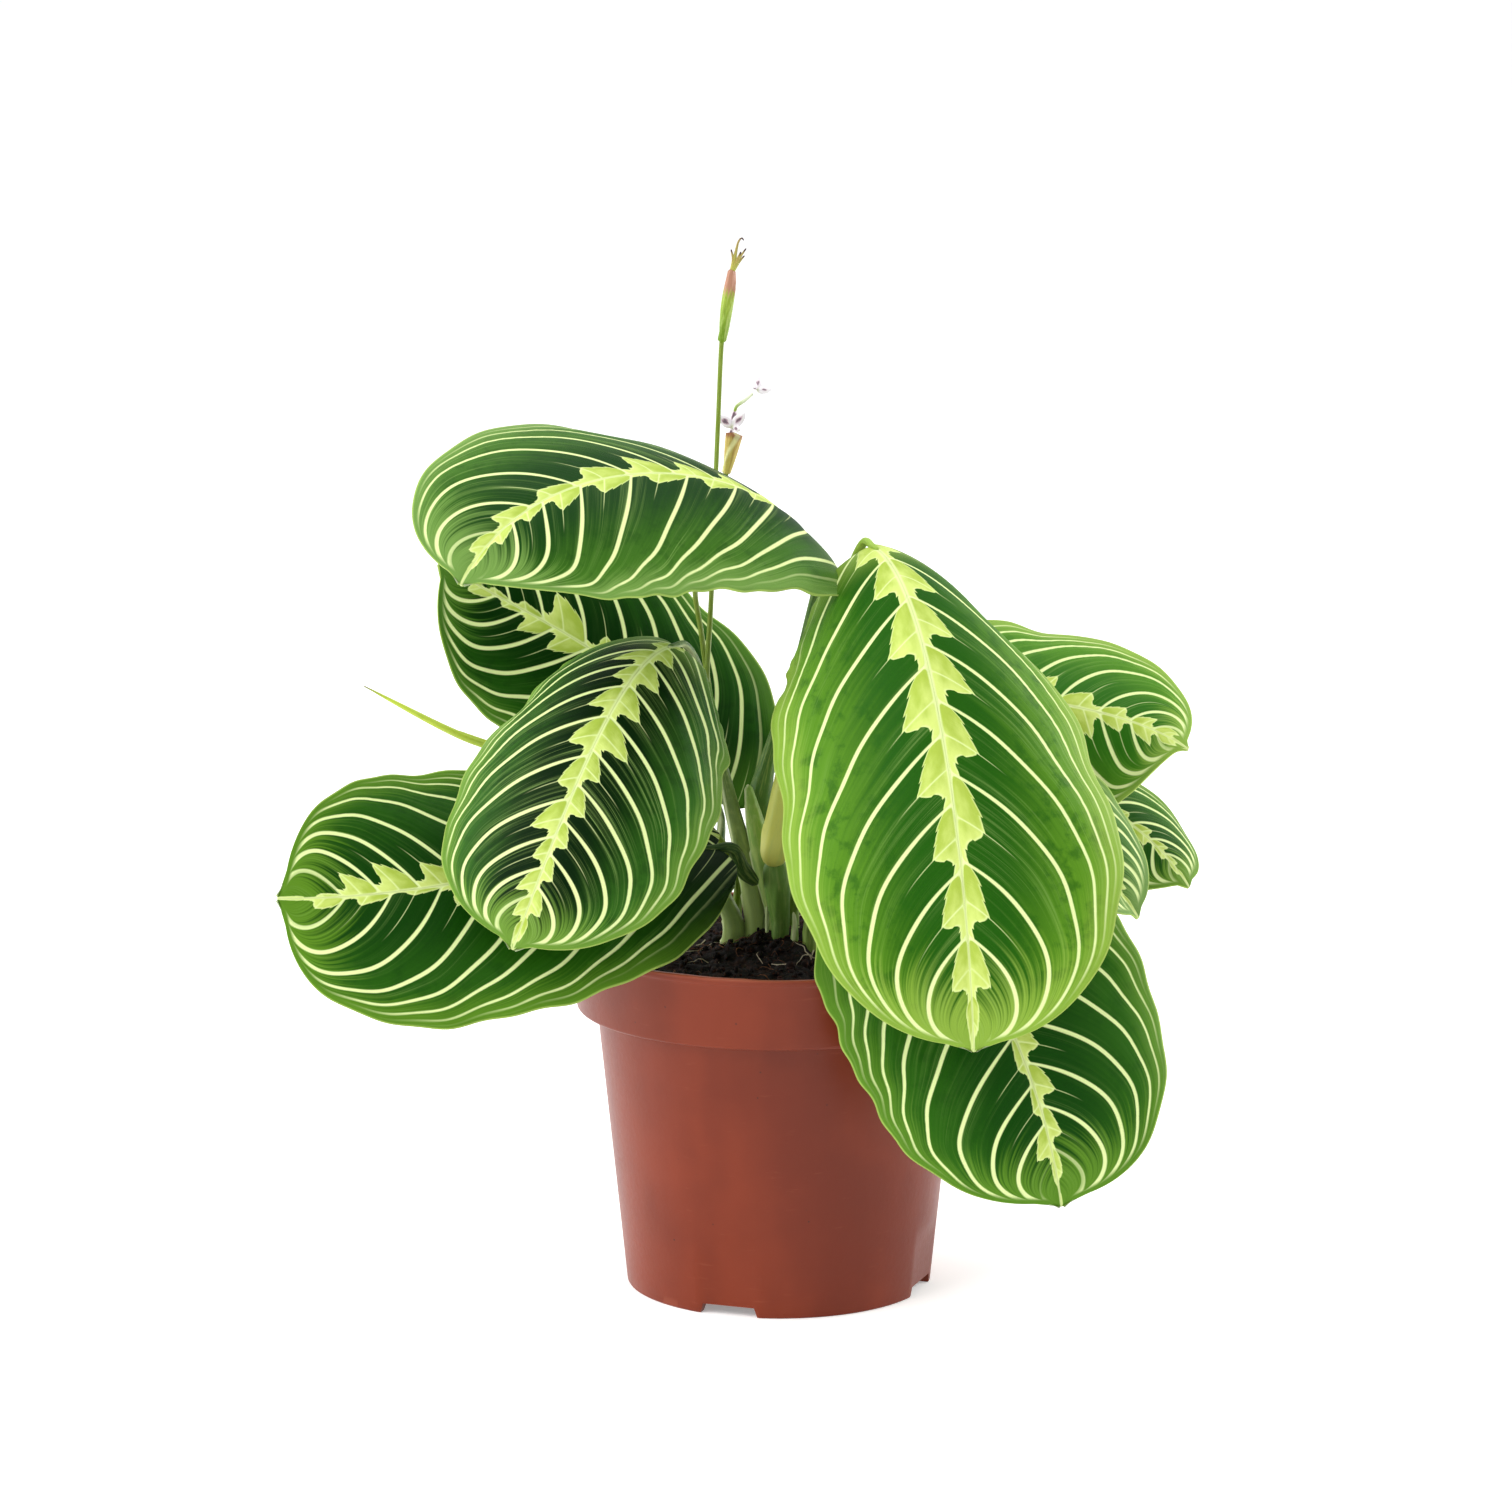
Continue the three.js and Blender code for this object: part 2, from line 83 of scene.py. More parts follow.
def srgb(red: int, green: int, blue: int, gain: float = 1.0) -> Colour:
    """A linear colour from its display values.

    Args:
        red, green, blue: Display values from 0 to 255.
        gain: Factor on the linear result, to allow for the strength of the light.

    Returns:
        The colour as three linear values.
    """
    linear = [(value / 255) ** 2.2 * gain for value in (red, green, blue)]
    return (linear[0], linear[1], linear[2])


# ---- Shader maths ----


class Value:
    """A shader number: a node's output socket with Python's arithmetic on it."""

    def __init__(self, graph: "Graph", socket: object) -> None:
        """Wraps an output socket of a graph."""
        self.graph = graph
        self.socket = socket

    def math(self, operation: str, *others: object) -> "Value":
        """The result of one Math node on this value and the others."""
        inputs = dict(enumerate([self, *others]))
        return self.graph.node("ShaderNodeMath", {"operation": operation}, inputs)

    def __add__(self, other: object) -> "Value":
        """The sum with a number or value."""
        return self.math("ADD", other)

    def __sub__(self, other: object) -> "Value":
        """The value less a number or value."""
        return self.math("SUBTRACT", other)

    def __mul__(self, other: object) -> "Value":
        """The product with a number or value."""
        return self.math("MULTIPLY", other)

    def __rsub__(self, other: object) -> "Value":
        """A number less the value."""
        return self.graph.number(other).math("SUBTRACT", self)

    __radd__ = __add__
    __rmul__ = __mul__

    def smooth(self, low: object, high: object) -> "Value":
        """0 below low, 1 above high, with a smooth step between them."""
        settings = {"interpolation_type": "SMOOTHSTEP"}
        return self.graph.node("ShaderNodeMapRange", settings, {0: self, 1: low, 2: high})

    def ramp(self, low: float, high: float) -> "Value":
        """0 below low, 1 above high, with a straight slope between them."""
        return self.graph.node("ShaderNodeMapRange", {"clamp": True}, {0: self, 1: low, 2: high})

    def below(self, edge: object, soft: float) -> "Value":
        """1 where the value is below edge and 0 where it is above, softened over a width."""
        return 1.0 - (self - edge).smooth(-soft, soft)


class Graph:
    """The node tree of one material, which ends in one surface shader."""

    def __init__(self, name: str) -> None:
        """Starts an empty node tree in a new material."""
        self.material = bpy.data.materials.new(name)
        self.material.use_nodes = True
        self.tree = self.material.node_tree
        self.tree.nodes.clear()

    def node(self, kind: str, settings: dict, inputs: dict, output: object = 0) -> Value:
        """Adds a node of any type.

        Args:
            kind: The node's type name.
            settings: Properties of the node, which are set first.
            inputs: Socket values or links by socket name or number.
            output: The output socket wanted, by name or number.

        Returns:
            The output as a value.
        """
        made = self.tree.nodes.new(kind)
        for key, setting in settings.items():
            setattr(made, key, setting)
        for key, content in inputs.items():
            self.feed(made.inputs[key], content)
        return Value(self, made.outputs[output])

    def feed(self, socket: object, content: object) -> None:
        """Links a value into a socket, or sets the socket to a number or colour."""
        if isinstance(content, Value):
            self.tree.links.new(content.socket, socket)
        elif isinstance(content, tuple) and len(socket.default_value) == 4:
            socket.default_value = (*content, 1.0)
        else:
            socket.default_value = content

    def number(self, content: object) -> Value:
        """A constant as a value."""
        return self.node("ShaderNodeMath", {"operation": "ADD"}, {0: content, 1: 0.0})

    def attribute(self, name: str) -> Value:
        """A float attribute of the mesh."""
        return self.node("ShaderNodeAttribute", {"attribute_name": name}, {}, "Fac")

    def place(self, scale: Point = (1.0, 1.0, 1.0)) -> Value:
        """The point's place in the part's frame, scaled along each axis."""
        coordinates = self.node("ShaderNodeTexCoord", {}, {}, "Object")
        settings = {"operation": "MULTIPLY"}
        return self.node("ShaderNodeVectorMath", settings, {0: coordinates, 1: scale})

    def vector(self, x: object, y: object, z: object = 0.0) -> Value:
        """A vector of three numbers."""
        return self.node("ShaderNodeCombineXYZ", {}, {0: x, 1: y, 2: z})

    def noise(self, vector: Value, scale: float, detail: float = 2.0, rough: float = 0.5) -> Value:
        """Fractal noise from 0 to 1."""
        inputs = {"Vector": vector, "Scale": scale, "Detail": detail, "Roughness": rough}
        return self.node("ShaderNodeTexNoise", {}, inputs, "Fac")

    def cells(self, vector: Value, scale: float) -> Value:
        """Distance to the nearest of many scattered points."""
        return self.node("ShaderNodeTexVoronoi", {}, {"Vector": vector, "Scale": scale}, "Distance")

    def vein_gap(self, phase: Value, pitch: Value) -> Value:
        """Distance from the nearest main vein, in millimetres."""
        return ((phase + 0.5).math("FRACT") - 0.5).math("ABSOLUTE") * pitch

    def mix(self, factor: object, first: object, second: object) -> Value:
        """A colour between two others."""
        settings = {"data_type": "RGBA", "clamp_factor": True}
        return self.node("ShaderNodeMix", settings, {0: factor, 6: first, 7: second}, 2)

    def bump(self, height: Value, distance: float) -> Value:
        """A normal from a height that is given as a share of a distance in millimetres."""
        inputs = {"Height": height, "Distance": distance * MM, "Strength": 1.0}
        return self.node("ShaderNodeBump", {}, inputs)

    def finish(
        self, inputs: dict, glow: float = 0.0, lit: Colour = (0.5, 0.5, 0.5)
    ) -> bpy.types.Material:
        """Ends the tree in a Principled shader.

        Args:
            inputs: The shader's inputs by name.
            glow: Share of light that passes through a thin leaf or petal.
            lit: Colour of that light.

        Returns:
            The finished material.
        """
        surface = self.node("ShaderNodeBsdfPrincipled", {}, inputs)
        if glow:
            through = self.node("ShaderNodeBsdfTranslucent", {}, {"Color": lit})
            surface = self.node("ShaderNodeMixShader", {}, {0: glow, 1: surface, 2: through})
        output = self.tree.nodes.new("ShaderNodeOutputMaterial")
        self.tree.links.new(surface.socket, output.inputs["Surface"])
        return self.material


# ---- Finishes ----


@dataclass(frozen=True)
class BladeFinish:
    """The patterned upper face of one blade.

    Attributes:
        dark: Colour beside the midrib band.
        mid: Colour further out.
        edge: Colour of the margin.
        band: Half width of the feathered band at its widest.
        uneven: How much the band's lobes differ from each other.
        sheen: How strong the painted highlight streaks are.
        mottle: How strong the darker blotches are.
        shade: How much painted shadow darkens the blade near its base.
        seed: Shifts the streaks and lobes.
        lime, pale: The band's two colours.
        vein: Colour of the veins and of the band's edge.
        painted_sheen: Colour of the painted highlight streaks.
    """

    dark: Colour
    mid: Colour
    edge: Colour
    band: float = 10.0
    uneven: float = 0.35
    sheen: float = 1.0
    mottle: float = 0.5
    shade: float = 0.0
    seed: float = 0.0
    lime: Colour = srgb(172, 196, 78, 0.86)
    pale: Colour = srgb(210, 228, 124, 0.9)
    vein: Colour = srgb(226, 242, 166, 0.92)
    painted_sheen: Colour = srgb(150, 186, 102, 0.8)

    def build(self, name: str) -> bpy.types.Material:
        """The material: streaked green with painted highlight streaks, a tip paler from its own
        colour and a painted highlight, painted shadow near the base, the feathered band, and the
        veins over both.
        """
        g = Graph(name)
        along, across = g.attribute("along"), g.attribute("across")
        phase, pitch, rib = g.attribute("phase"), g.attribute("pitch"), g.attribute("rib")
        out = across.math("ABSOLUTE")
        side = across.math("GREATER_THAN", 0.0)
        between = phase.math("FRACT")
        gap = g.vein_gap(phase, pitch)
        broad = g.noise(g.vector(phase * 2.2, along * 2.5, side * 9.0 + self.seed), 1.0, 3.0)
        streak = g.noise(g.vector(phase * 11.0, along * 3.0, side * 7.0 + self.seed), 1.0, 3.0)
        thread = g.noise(g.vector(phase * 70.0, along * 7.0, side * 5.0 + self.seed), 1.0, 2.0)
        blotch = g.noise(g.place(), 170.0, 5.0, 0.62)
        green = g.mix((out + (streak - 0.5) * 0.4).smooth(0.18, 0.85), self.dark, self.mid)
        green = g.mix(blotch.smooth(0.48, 0.66) * self.mottle * 0.7, green, self.dark)
        margin = (out + (streak - 0.5) * 0.25).smooth(0.72, 1.0)
        # The tip is paler partly from its own colour and partly from a painted highlight where it
        # curves.
        tip = (along + (streak - 0.5) * 0.3).smooth(0.84, 0.98)
        foot = along.below(0.07, 0.07) * (0.8 - self.shade)
        green = g.mix(margin.math("MAXIMUM", tip).math("MAXIMUM", foot) * 0.8, green, self.edge)
        # Painted highlight: silky streaks of lighter green stand in for the leaf's satin
        # reflections.
        painted_sheen = (thread * 0.6 + streak * 0.7).smooth(0.6, 0.96) * broad.smooth(0.42, 0.66)
        green = g.mix(painted_sheen * 0.6 * self.sheen, green, self.painted_sheen)
        green = g.mix((thread - 0.5).math("ABSOLUTE") * 0.4, green, self.dark)
        # Painted shadow: darker green near the base of a blade that lies in shade.
        green = g.mix(along.below(0.2, 0.2) * self.shade, green, srgb(10, 34, 6, 0.8))
        beyond = self.lobes(g, between, phase, along, side, rib)
        inside = beyond.below(0.0, 0.14)
        lit = g.noise(g.vector(between * 3.0, rib * 0.25, phase.math("FLOOR")), 1.0, 3.0)
        feather = g.mix((lit * 0.6 + between * 0.5).smooth(0.32, 0.72), self.lime, self.pale)
        feather = g.mix(beyond.smooth(-0.9, -0.1) * 0.55, feather, self.vein)
        halfway = ((between - 0.5) * pitch).math("ABSOLUTE")
        feather = g.mix(halfway.below(0.2, 0.3) * 0.6, feather, self.vein)
        colour = g.mix(inside, green, feather)
        fine = halfway.below(0.1, 0.14) * (1.0 - rib.smooth(self.band * 0.9, self.band * 1.5)) * 0.7
        colour = g.mix(fine * (1.0 - along.smooth(0.8, 0.9)), colour, self.vein)
        taper = out.smooth(0.0, 0.35) * 0.22 + 0.36 - out.smooth(0.6, 1.0) * 0.32
        main = gap.below(taper, 0.2) * (1.0 - out.smooth(0.86, 0.99) * 0.75)
        main = main * g.attribute("strength") * pitch.smooth(0.8, 2.4)
        colour = g.mix(main, colour, self.vein)
        colour = g.mix(rib.below(0.95 - 0.75 * along, 0.3) * 0.85, colour, self.vein)
        colour = g.mix(rib.below(0.12, 0.14) * 0.35, colour, srgb(150, 150, 104, 0.9))
        hem = g.attribute("rim").below(0.45, 0.25) * 0.6
        colour = g.mix(hem, colour, srgb(190, 215, 110, 0.9))
        height = thread * 0.35 + streak * 0.35 - main * 0.5 + blotch * 0.15
        inputs = {
            "Base Color": colour,
            "Roughness": 0.34 + 0.18 * streak - 0.06 * painted_sheen,
            "Normal": g.bump(height, 0.22),
            "Specular IOR Level": 0.06,
        }
        return g.finish(inputs, glow=0.1, lit=self.mid)

    def lobes(
        self, g: Graph, between: Value, phase: Value, along: Value, side: Value, rib: Value
    ) -> Value:
        """How far a point lies beyond the band's edge, with a lobe between each two veins."""
        index = phase.math("FLOOR") + side * 31.0 + self.seed * 7.0
        settings = {"noise_dimensions": "1D"}
        chance = g.node("ShaderNodeTexWhiteNoise", settings, {"W": index}, "Value")
        size = 1.0 + (chance - 0.6) * (2.0 * self.uneven)
        rise = between.ramp(0.0, 0.5).math("POWER", 0.6)
        fall = between.smooth(0.48, 0.8)
        teeth = ((between * 6.0).math("FRACT") - 0.5) * 0.08
        wavy = g.noise(g.vector(phase * 5.0, side * 3.0 + self.seed), 1.0, 2.0) - 0.5
        reach = (0.32 + 0.62 * rise + teeth + wavy * 0.2 - 0.68 * fall) * size
        length = (0.75 + 0.25 * along.smooth(0.0, 0.25)) * (1.0 - 0.45 * along.smooth(0.5, 0.9))
        length = length * (1.0 - 0.85 * along.smooth(0.88, 1.0))
        return rib - reach * length * self.band


@dataclass(frozen=True)
class UndersideFinish:
    """The matt grey-green lower face of a blade.

    Attributes:
        colour: Colour of the skin.
        vein: Colour of the raised veins.
    """

    colour: Colour = srgb(122, 152, 96, 0.8)
    vein: Colour = srgb(172, 194, 130, 0.8)

    def build(self, name: str) -> bpy.types.Material:
        """The material: soft green with raised paler veins."""
        g = Graph(name)
        along, out = g.attribute("along"), g.attribute("across").math("ABSOLUTE")
        phase, pitch, rib = g.attribute("phase"), g.attribute("pitch"), g.attribute("rib")
        gap = g.vein_gap(phase, pitch)
        thread = g.noise(g.vector(phase * 45.0, along * 6.0), 1.0, 3.0)
        down = g.noise(g.place(), 2600.0, 2.0)
        colour = g.mix(thread.smooth(0.3, 0.75), self.colour, srgb(98, 128, 72, 0.8))
        colour = g.mix(rib.below(6.0, 5.0) * 0.4, colour, self.vein)
        main = gap.below(0.5, 0.3) * (1.0 - out.smooth(0.8, 1.0))
        ridge = main.math("MAXIMUM", rib.below(0.8, 0.4))
        colour = g.mix(ridge * 0.75, colour, self.vein)
        height = ridge + thread * 0.3 + down * 0.15
        inputs = {
            "Base Color": colour,
            "Roughness": 0.58 + 0.2 * down,
            "Normal": g.bump(height, 0.3),
            "Sheen Weight": 0.15,
        }
        return g.finish(inputs, glow=0.14, lit=self.colour)


@dataclass(frozen=True)
class StalkFinish:
    """A fleshy stalk, sheath or rolled leaf.

    Attributes:
        low, high: Colours at its lower and upper end.
        line: Colour of the light lengthwise lines.
        lines: How strong those lines are.
        tip: Colour of the last stretch of a rolled leaf, stalk or bract.
        tip_start: Share of the length where that stretch begins.
        hem: How pale the free edge of a sheath is.
        roughness: Its mean roughness.
    """

    low: Colour
    high: Colour
    line: Colour = srgb(196, 214, 120, 0.85)
    lines: float = 0.5
    tip: Colour = srgb(120, 104, 84, 0.8)
    tip_start: float = 2.0
    hem: float = 0.0
    roughness: float = 0.42

    def build(self, name: str) -> bpy.types.Material:
        """The material: two greens, lengthwise lines and a slightly mottled satin skin."""
        g = Graph(name)
        along, around = g.attribute("along"), g.attribute("around")
        reach = g.attribute("reach")
        turn = around * (2 * math.pi)
        ring = g.vector(turn.math("COSINE"), turn.math("SINE"), reach * 0.03)
        wide = g.noise(ring, 3.0, 3.0)
        thin = g.noise(ring, 11.0, 3.0, 0.6)
        mottle = g.noise(g.place(), 420.0, 3.0)
        colour = g.mix(along.smooth(0.05, 0.75), self.low, self.high)
        colour = g.mix(mottle.smooth(0.5, 0.75) * 0.35, colour, self.low)
        colour = g.mix(wide.smooth(0.5, 0.68) * self.lines, colour, self.line)
        colour = g.mix(thin.smooth(0.52, 0.7) * self.lines * 0.8, colour, self.line)
        end = (along + (wide - 0.5) * 0.3).smooth(self.tip_start, self.tip_start + 0.16)
        colour = g.mix(end, colour, self.tip)
        edge = g.attribute("hem").below(0.7, 0.4) * self.hem
        colour = g.mix(edge, colour, srgb(222, 230, 176, 0.95))
        height = thin * 0.6 + wide * 0.4 + mottle * 0.3
        inputs = {
            "Base Color": colour,
            "Roughness": self.roughness + 0.2 * (mottle - 0.4),
            "Normal": g.bump(height, 0.18),
            "Specular IOR Level": 0.25,
        }
        return g.finish(inputs, glow=0.06, lit=self.high)


@dataclass(frozen=True)
class PotFinish:
    """Injection-moulded terracotta-coloured plastic.

    Attributes:
        height: Height of the pot, for the painted highlight along its lip.
        colour, deep: The two shades of the plastic.
        scuff_and_highlight: Colour of rubbed edges, and of the painted highlight along the lip.
    """

    height: float = 105.0
    colour: Colour = srgb(115, 46, 23)
    deep: Colour = srgb(100, 38, 17)
    scuff_and_highlight: Colour = srgb(166, 94, 70)

    def build(self, name: str) -> bpy.types.Material:
        """The material: even colour, fine grain, dust specks, rubbed edges, a painted highlight
        along the lip and painted shade in the step under the rim band.
        """
        g = Graph(name)
        place = g.place()
        cloud = g.noise(place, 28.0, 3.0)
        flow = g.noise(g.place((60.0, 60.0, 9.0)), 1.0, 2.0)
        grain = g.noise(place, 3200.0, 2.0)
        peel = g.noise(place, 620.0, 2.0)
        specks = g.cells(place, 240.0).below(0.07, 0.03) * g.noise(place, 60.0).smooth(0.52, 0.6)
        rubs = g.noise(g.place((90.0, 90.0, 700.0)), 1.0, 4.0, 0.65).smooth(0.62, 0.75)
        colour = g.mix((cloud * 0.6 + flow * 0.4).smooth(0.35, 0.65), self.colour, self.deep)
        bend = g.node("ShaderNodeNewGeometry", {}, {}, "Pointiness")
        level = g.node("ShaderNodeSeparateXYZ", {}, {0: g.place((1000.0, 1000.0, 1000.0))}, "Z")
        # Painted highlight along the top of the lip; the convex edges and scattered rubs are
        # lighter from wear.
        lip = level.smooth(self.height - 1.0, self.height - 0.1)
        colour = g.mix(bend.smooth(0.52, 0.58) * 0.15 + rubs * 0.1 + lip * 0.4, colour, self.scuff_and_highlight)
        # Painted shade: darker in the concave step under the rim band, where a shadow line falls.
        colour = g.mix(bend.below(0.47, 0.02) * 0.7, colour, srgb(58, 20, 12))
        colour = g.mix(specks * 0.8, colour, srgb(52, 32, 26))
        inputs = {
            "Base Color": colour,
            "Roughness": 0.34 + 0.1 * peel + 0.1 * rubs,
            "Normal": g.bump(grain * 0.3 + peel * 0.7, 0.06),
            "Specular IOR Level": 0.24,
        }
        return g.finish(inputs)


@dataclass(frozen=True)
class PeatFinish:
    """Damp peat, its crumbs, or the fibres in it.

    Attributes:
        dark, light: Colours of the grains.
        scale: Grains in a metre.
        share: How much of it is dark.
    """

    dark: Colour = srgb(13, 8, 6)
    light: Colour = srgb(62, 40, 29)
    scale: float = 900.0
    share: float = 0.58

    def build(self, name: str) -> bpy.types.Material:
        """The material: nearly black grains with reddish and grey ones among them."""
        g = Graph(name)
        place = g.place()
        grain = g.noise(place, self.scale, 5.0, 0.7)
        patch = g.noise(place, self.scale * 0.12, 3.0)
        bits = g.cells(place, self.scale * 0.9)
        colour = g.mix(grain.smooth(self.share - 0.1, self.share + 0.16), self.dark, self.light)
        colour = g.mix(patch.smooth(0.5, 0.7) * 0.5, colour, srgb(60, 30, 20))
        colour = g.mix(bits.below(0.12, 0.05) * 0.3, colour, srgb(104, 84, 70))
        height = grain + bits * 0.6
        inputs = {
            "Base Color": colour,
            "Roughness": 0.7 + 0.25 * grain,
            "Normal": g.bump(height, 0.7),
            "Specular IOR Level": 0.2,
        }
        return g.finish(inputs)


@dataclass(frozen=True)
class PetalFinish:
    """A thin white petal with purple spots.

    Attributes:
        spots: How large the spots are.
    """

    spots: float = 0.5

    def build(self, name: str) -> bpy.types.Material:
        """The material: lilac-white with fine veins and magenta to dark purple spots."""
        g = Graph(name)
        along, across = g.attribute("along"), g.attribute("across")
        veins = g.noise(g.vector(across * 9.0, along * 1.6), 1.0, 2.0)
        blot = g.noise(g.vector(across * 2.1, along * 2.6, g.attribute("petal")), 1.0, 1.0)
        colour = g.mix(veins.smooth(0.45, 0.7) * 0.6, srgb(248, 246, 248), srgb(222, 208, 226))
        lengthwise, crosswise = (along - 0.5) * 2.2, across * 1.1
        away = lengthwise * lengthwise + crosswise * crosswise + (blot - 0.5) * 0.7
        colour = g.mix(away.below(0.3 * self.spots, 0.14) * 0.8, colour, srgb(168, 92, 128))
        colour = g.mix(away.below(0.16 * self.spots, 0.06), colour, srgb(66, 20, 40))
        colour = g.mix(along.below(0.12, 0.1) * 0.6, colour, srgb(196, 206, 130))
        inputs = {
            "Base Color": colour,
            "Roughness": 0.5 + 0.2 * veins,
            "Normal": g.bump(veins, 0.1),
        }
        return g.finish(inputs, glow=0.3, lit=(0.85, 0.8, 0.86))


@dataclass(frozen=True)
class FloorFinish:
    """A pale seamless studio floor."""

    def build(self, name: str) -> bpy.types.Material:
        """The material: near-white with a trace of unevenness."""
        g = Graph(name)
        cloud = g.noise(g.place(), 3.0, 2.0)
        colour = g.mix(cloud, (0.9, 0.9, 0.9), (0.93, 0.93, 0.93))
        inputs = {
            "Base Color": colour,
            "Roughness": 0.9 + 0.05 * cloud,
            "Emission Color": colour,
            "Emission Strength": 0.3,
        }
        return g.finish(inputs)


# ---- Mesh helpers ----


def value_noise(points: np.ndarray, seed: int) -> np.ndarray:
    """Smooth noise from -1 to 1 at points whose coordinates are in lattice steps.

    Args:
        points: An array whose last axis is x, y, z.
        seed: Chooses the lattice values.

    Returns:
        One value for each point.
    """
    lattice = np.random.default_rng(seed).uniform(-1, 1, (32, 32, 32))
    low = np.floor(points).astype(int)
    blend = points - low
    blend = blend * blend * (3 - 2 * blend)
    total = np.zeros(points.shape[:-1])
    for corner in np.ndindex(2, 2, 2):
        weight = np.ones(points.shape[:-1])
        for axis, offset in enumerate(corner):
            weight = weight * (blend[..., axis] if offset else 1 - blend[..., axis])
        cell = (low + corner) % 32
        total += weight * lattice[cell[..., 0], cell[..., 1], cell[..., 2]]
    return total


def fractal(points: np.ndarray, seed: int, octaves: int = 3) -> np.ndarray:
    """Sum of value noise at rising frequencies."""
    return sum(value_noise(points * 2**k, seed + k) / 2**k for k in range(octaves))


def make_piece(name: str, points: np.ndarray, faces: list, attributes: dict) -> bpy.types.Object:
    """A smooth-shaded mesh object from points in millimetres.

    Args:
        name: The piece's name.
        points: One row of x, y, z for each vertex.
        faces: Tuples of vertex numbers.
        attributes: Float arrays by name, one value for each vertex.

    Returns:
        The new object, linked to the scene.
    """
    mesh = bpy.data.meshes.new(name)
    mesh.from_pydata((points * MM).tolist(), [], faces)
    for key, values in attributes.items():
        layer = mesh.attributes.new(key, "FLOAT", "POINT")
        layer.data.foreach_set("value", np.asarray(values, np.float32).ravel())
    mesh.polygons.foreach_set("use_smooth", [True] * len(mesh.polygons))
    mesh.update()
    piece = bpy.data.objects.new(name, mesh)
    bpy.context.scene.collection.objects.link(piece)
    return piece


def apply_modifiers(piece: bpy.types.Object) -> None:
    """Turns what a piece's modifiers make of it into its own mesh."""
    bpy.context.view_layer.update()
    evaluated = piece.evaluated_get(bpy.context.evaluated_depsgraph_get())
    mesh = bpy.data.meshes.new_from_object(evaluated)
    piece.modifiers.clear()
    piece.data = mesh


def settle(
    piece: bpy.types.Object, slot: Slot, node: str | None, *looks: bpy.types.Material
) -> None:
    """Gives a finished piece its materials and ties it to the frame.

    Args:
        piece: The object, in place.
        slot: The material slot it takes its finish from; not used.
        node: The CAD node it stands for, if any.
        looks: Its materials, in the order of its material numbers.
    """
    for look in looks:
        piece.data.materials.append(look)
    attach(piece, BODY)
    if node:
        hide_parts(node)
    LOG.info("%s: %d faces", piece.name, len(piece.data.polygons))


def sheet_faces(
    rows: int, columns: int, start: int = 0, flip: bool = False, ring: bool = False
) -> list:
    """The quads of a grid of vertices, numbered row by row.

    Args:
        rows, columns: Size of the grid of vertices.
        start: Number of its first vertex.
        flip: Turns the faces over.
        ring: Joins each row's last vertex to its first.

    Returns:
        A list of four-vertex faces.
    """
    faces = []
    for i in range(rows - 1):
        for j in range(columns if ring else columns - 1):
            a, b = start + i * columns + j, start + i * columns + (j + 1) % columns
            corners = (a, b, b + columns, a + columns)
            faces.append(corners[::-1] if flip else corners)
    return faces


def tube_faces(rings: int, sides: int) -> list:
    """The faces of a tube whose two end points come after its rings of vertices."""
    faces = sheet_faces(rings, sides, ring=True)
    start, last = rings * sides, (rings - 1) * sides
    for j in range(sides):
        k = (j + 1) % sides
        faces += [(start, k, j), (start + 1, last + j, last + k)]
    return faces


def smooth_path(points: list, count: int) -> np.ndarray:
    """Evenly spaced points on a centripetal Catmull-Rom curve through the given points."""
    known = np.array(points, float)
    ends = [2 * known[0] - known[1], *known, 2 * known[-1] - known[-2]]
    dense = []
    for k in range(len(known) - 1):
        p0, p1, p2, p3 = ends[k : k + 4]
        pairs = ((p0, p1), (p1, p2), (p2, p3))
        d0, d1, d2 = (max(np.linalg.norm(b - a) ** 0.5, 1e-4) for a, b in pairs)
        m1 = ((p1 - p0) / d0 - (p2 - p0) / (d0 + d1) + (p2 - p1) / d1) * d1
        m2 = ((p2 - p1) / d1 - (p3 - p1) / (d1 + d2) + (p3 - p2) / d2) * d1
        t = np.linspace(0, 1, 60, endpoint=k == len(known) - 2)[:, None]
        cubic = (2 * p1 - 2 * p2 + m1 + m2) * t**3 + (-3 * p1 + 3 * p2 - 2 * m1 - m2) * t**2
        dense.append(cubic + m1 * t + p1)
    curve = np.concatenate(dense)
    length = np.concatenate([[0], np.cumsum(np.linalg.norm(np.diff(curve, axis=0), axis=1))])
    wanted = np.linspace(0, length[-1], count)
    return np.stack([np.interp(wanted, length, curve[:, axis]) for axis in range(3)], axis=1)


def frames_along(path: np.ndarray) -> tuple[np.ndarray, np.ndarray]:
    """Two directions square to a path at each point, carried along it without twist."""
    tangents = np.gradient(path, axis=0)
    tangents /= np.linalg.norm(tangents, axis=1)[:, None]
    first = np.cross(tangents[0], (0.0, 1.0, 0.2))
    normals = []
    for tangent in tangents:
        first = first - tangent * np.dot(first, tangent)
        first = first / np.linalg.norm(first)
        normals.append(first)
    normals = np.array(normals)
    return normals, np.cross(tangents, normals)


# ---- Blades ----


@dataclass(frozen=True)
class Side:
    """How one half of a blade rises from its midrib and curls, in degrees at its base and tip."""

    rise: tuple[float, float]
    curl: tuple[float, float]


@dataclass(frozen=True)
class BladeShape:
    """Sizes that all blades share.

    Attributes:
        thickness: Thickness of the blade.
        rows, columns: Steps along the blade, and across each half.
        widest: Share of the length where it is widest.
        lobe_end: Share of the length over which the base lobes fade out.
        quilt: Height of the skin between two main veins.
        keel: Height of the midrib under the blade.
        point: Length of the small point at the tip.
    """

    thickness: float = 0.55
    rows: int = 132
    columns: int = 34
    widest: float = 0.54
    lobe_end: float = 0.25
    quilt: float = 0.34
    keel: float = 0.9
    point: float = 2.0


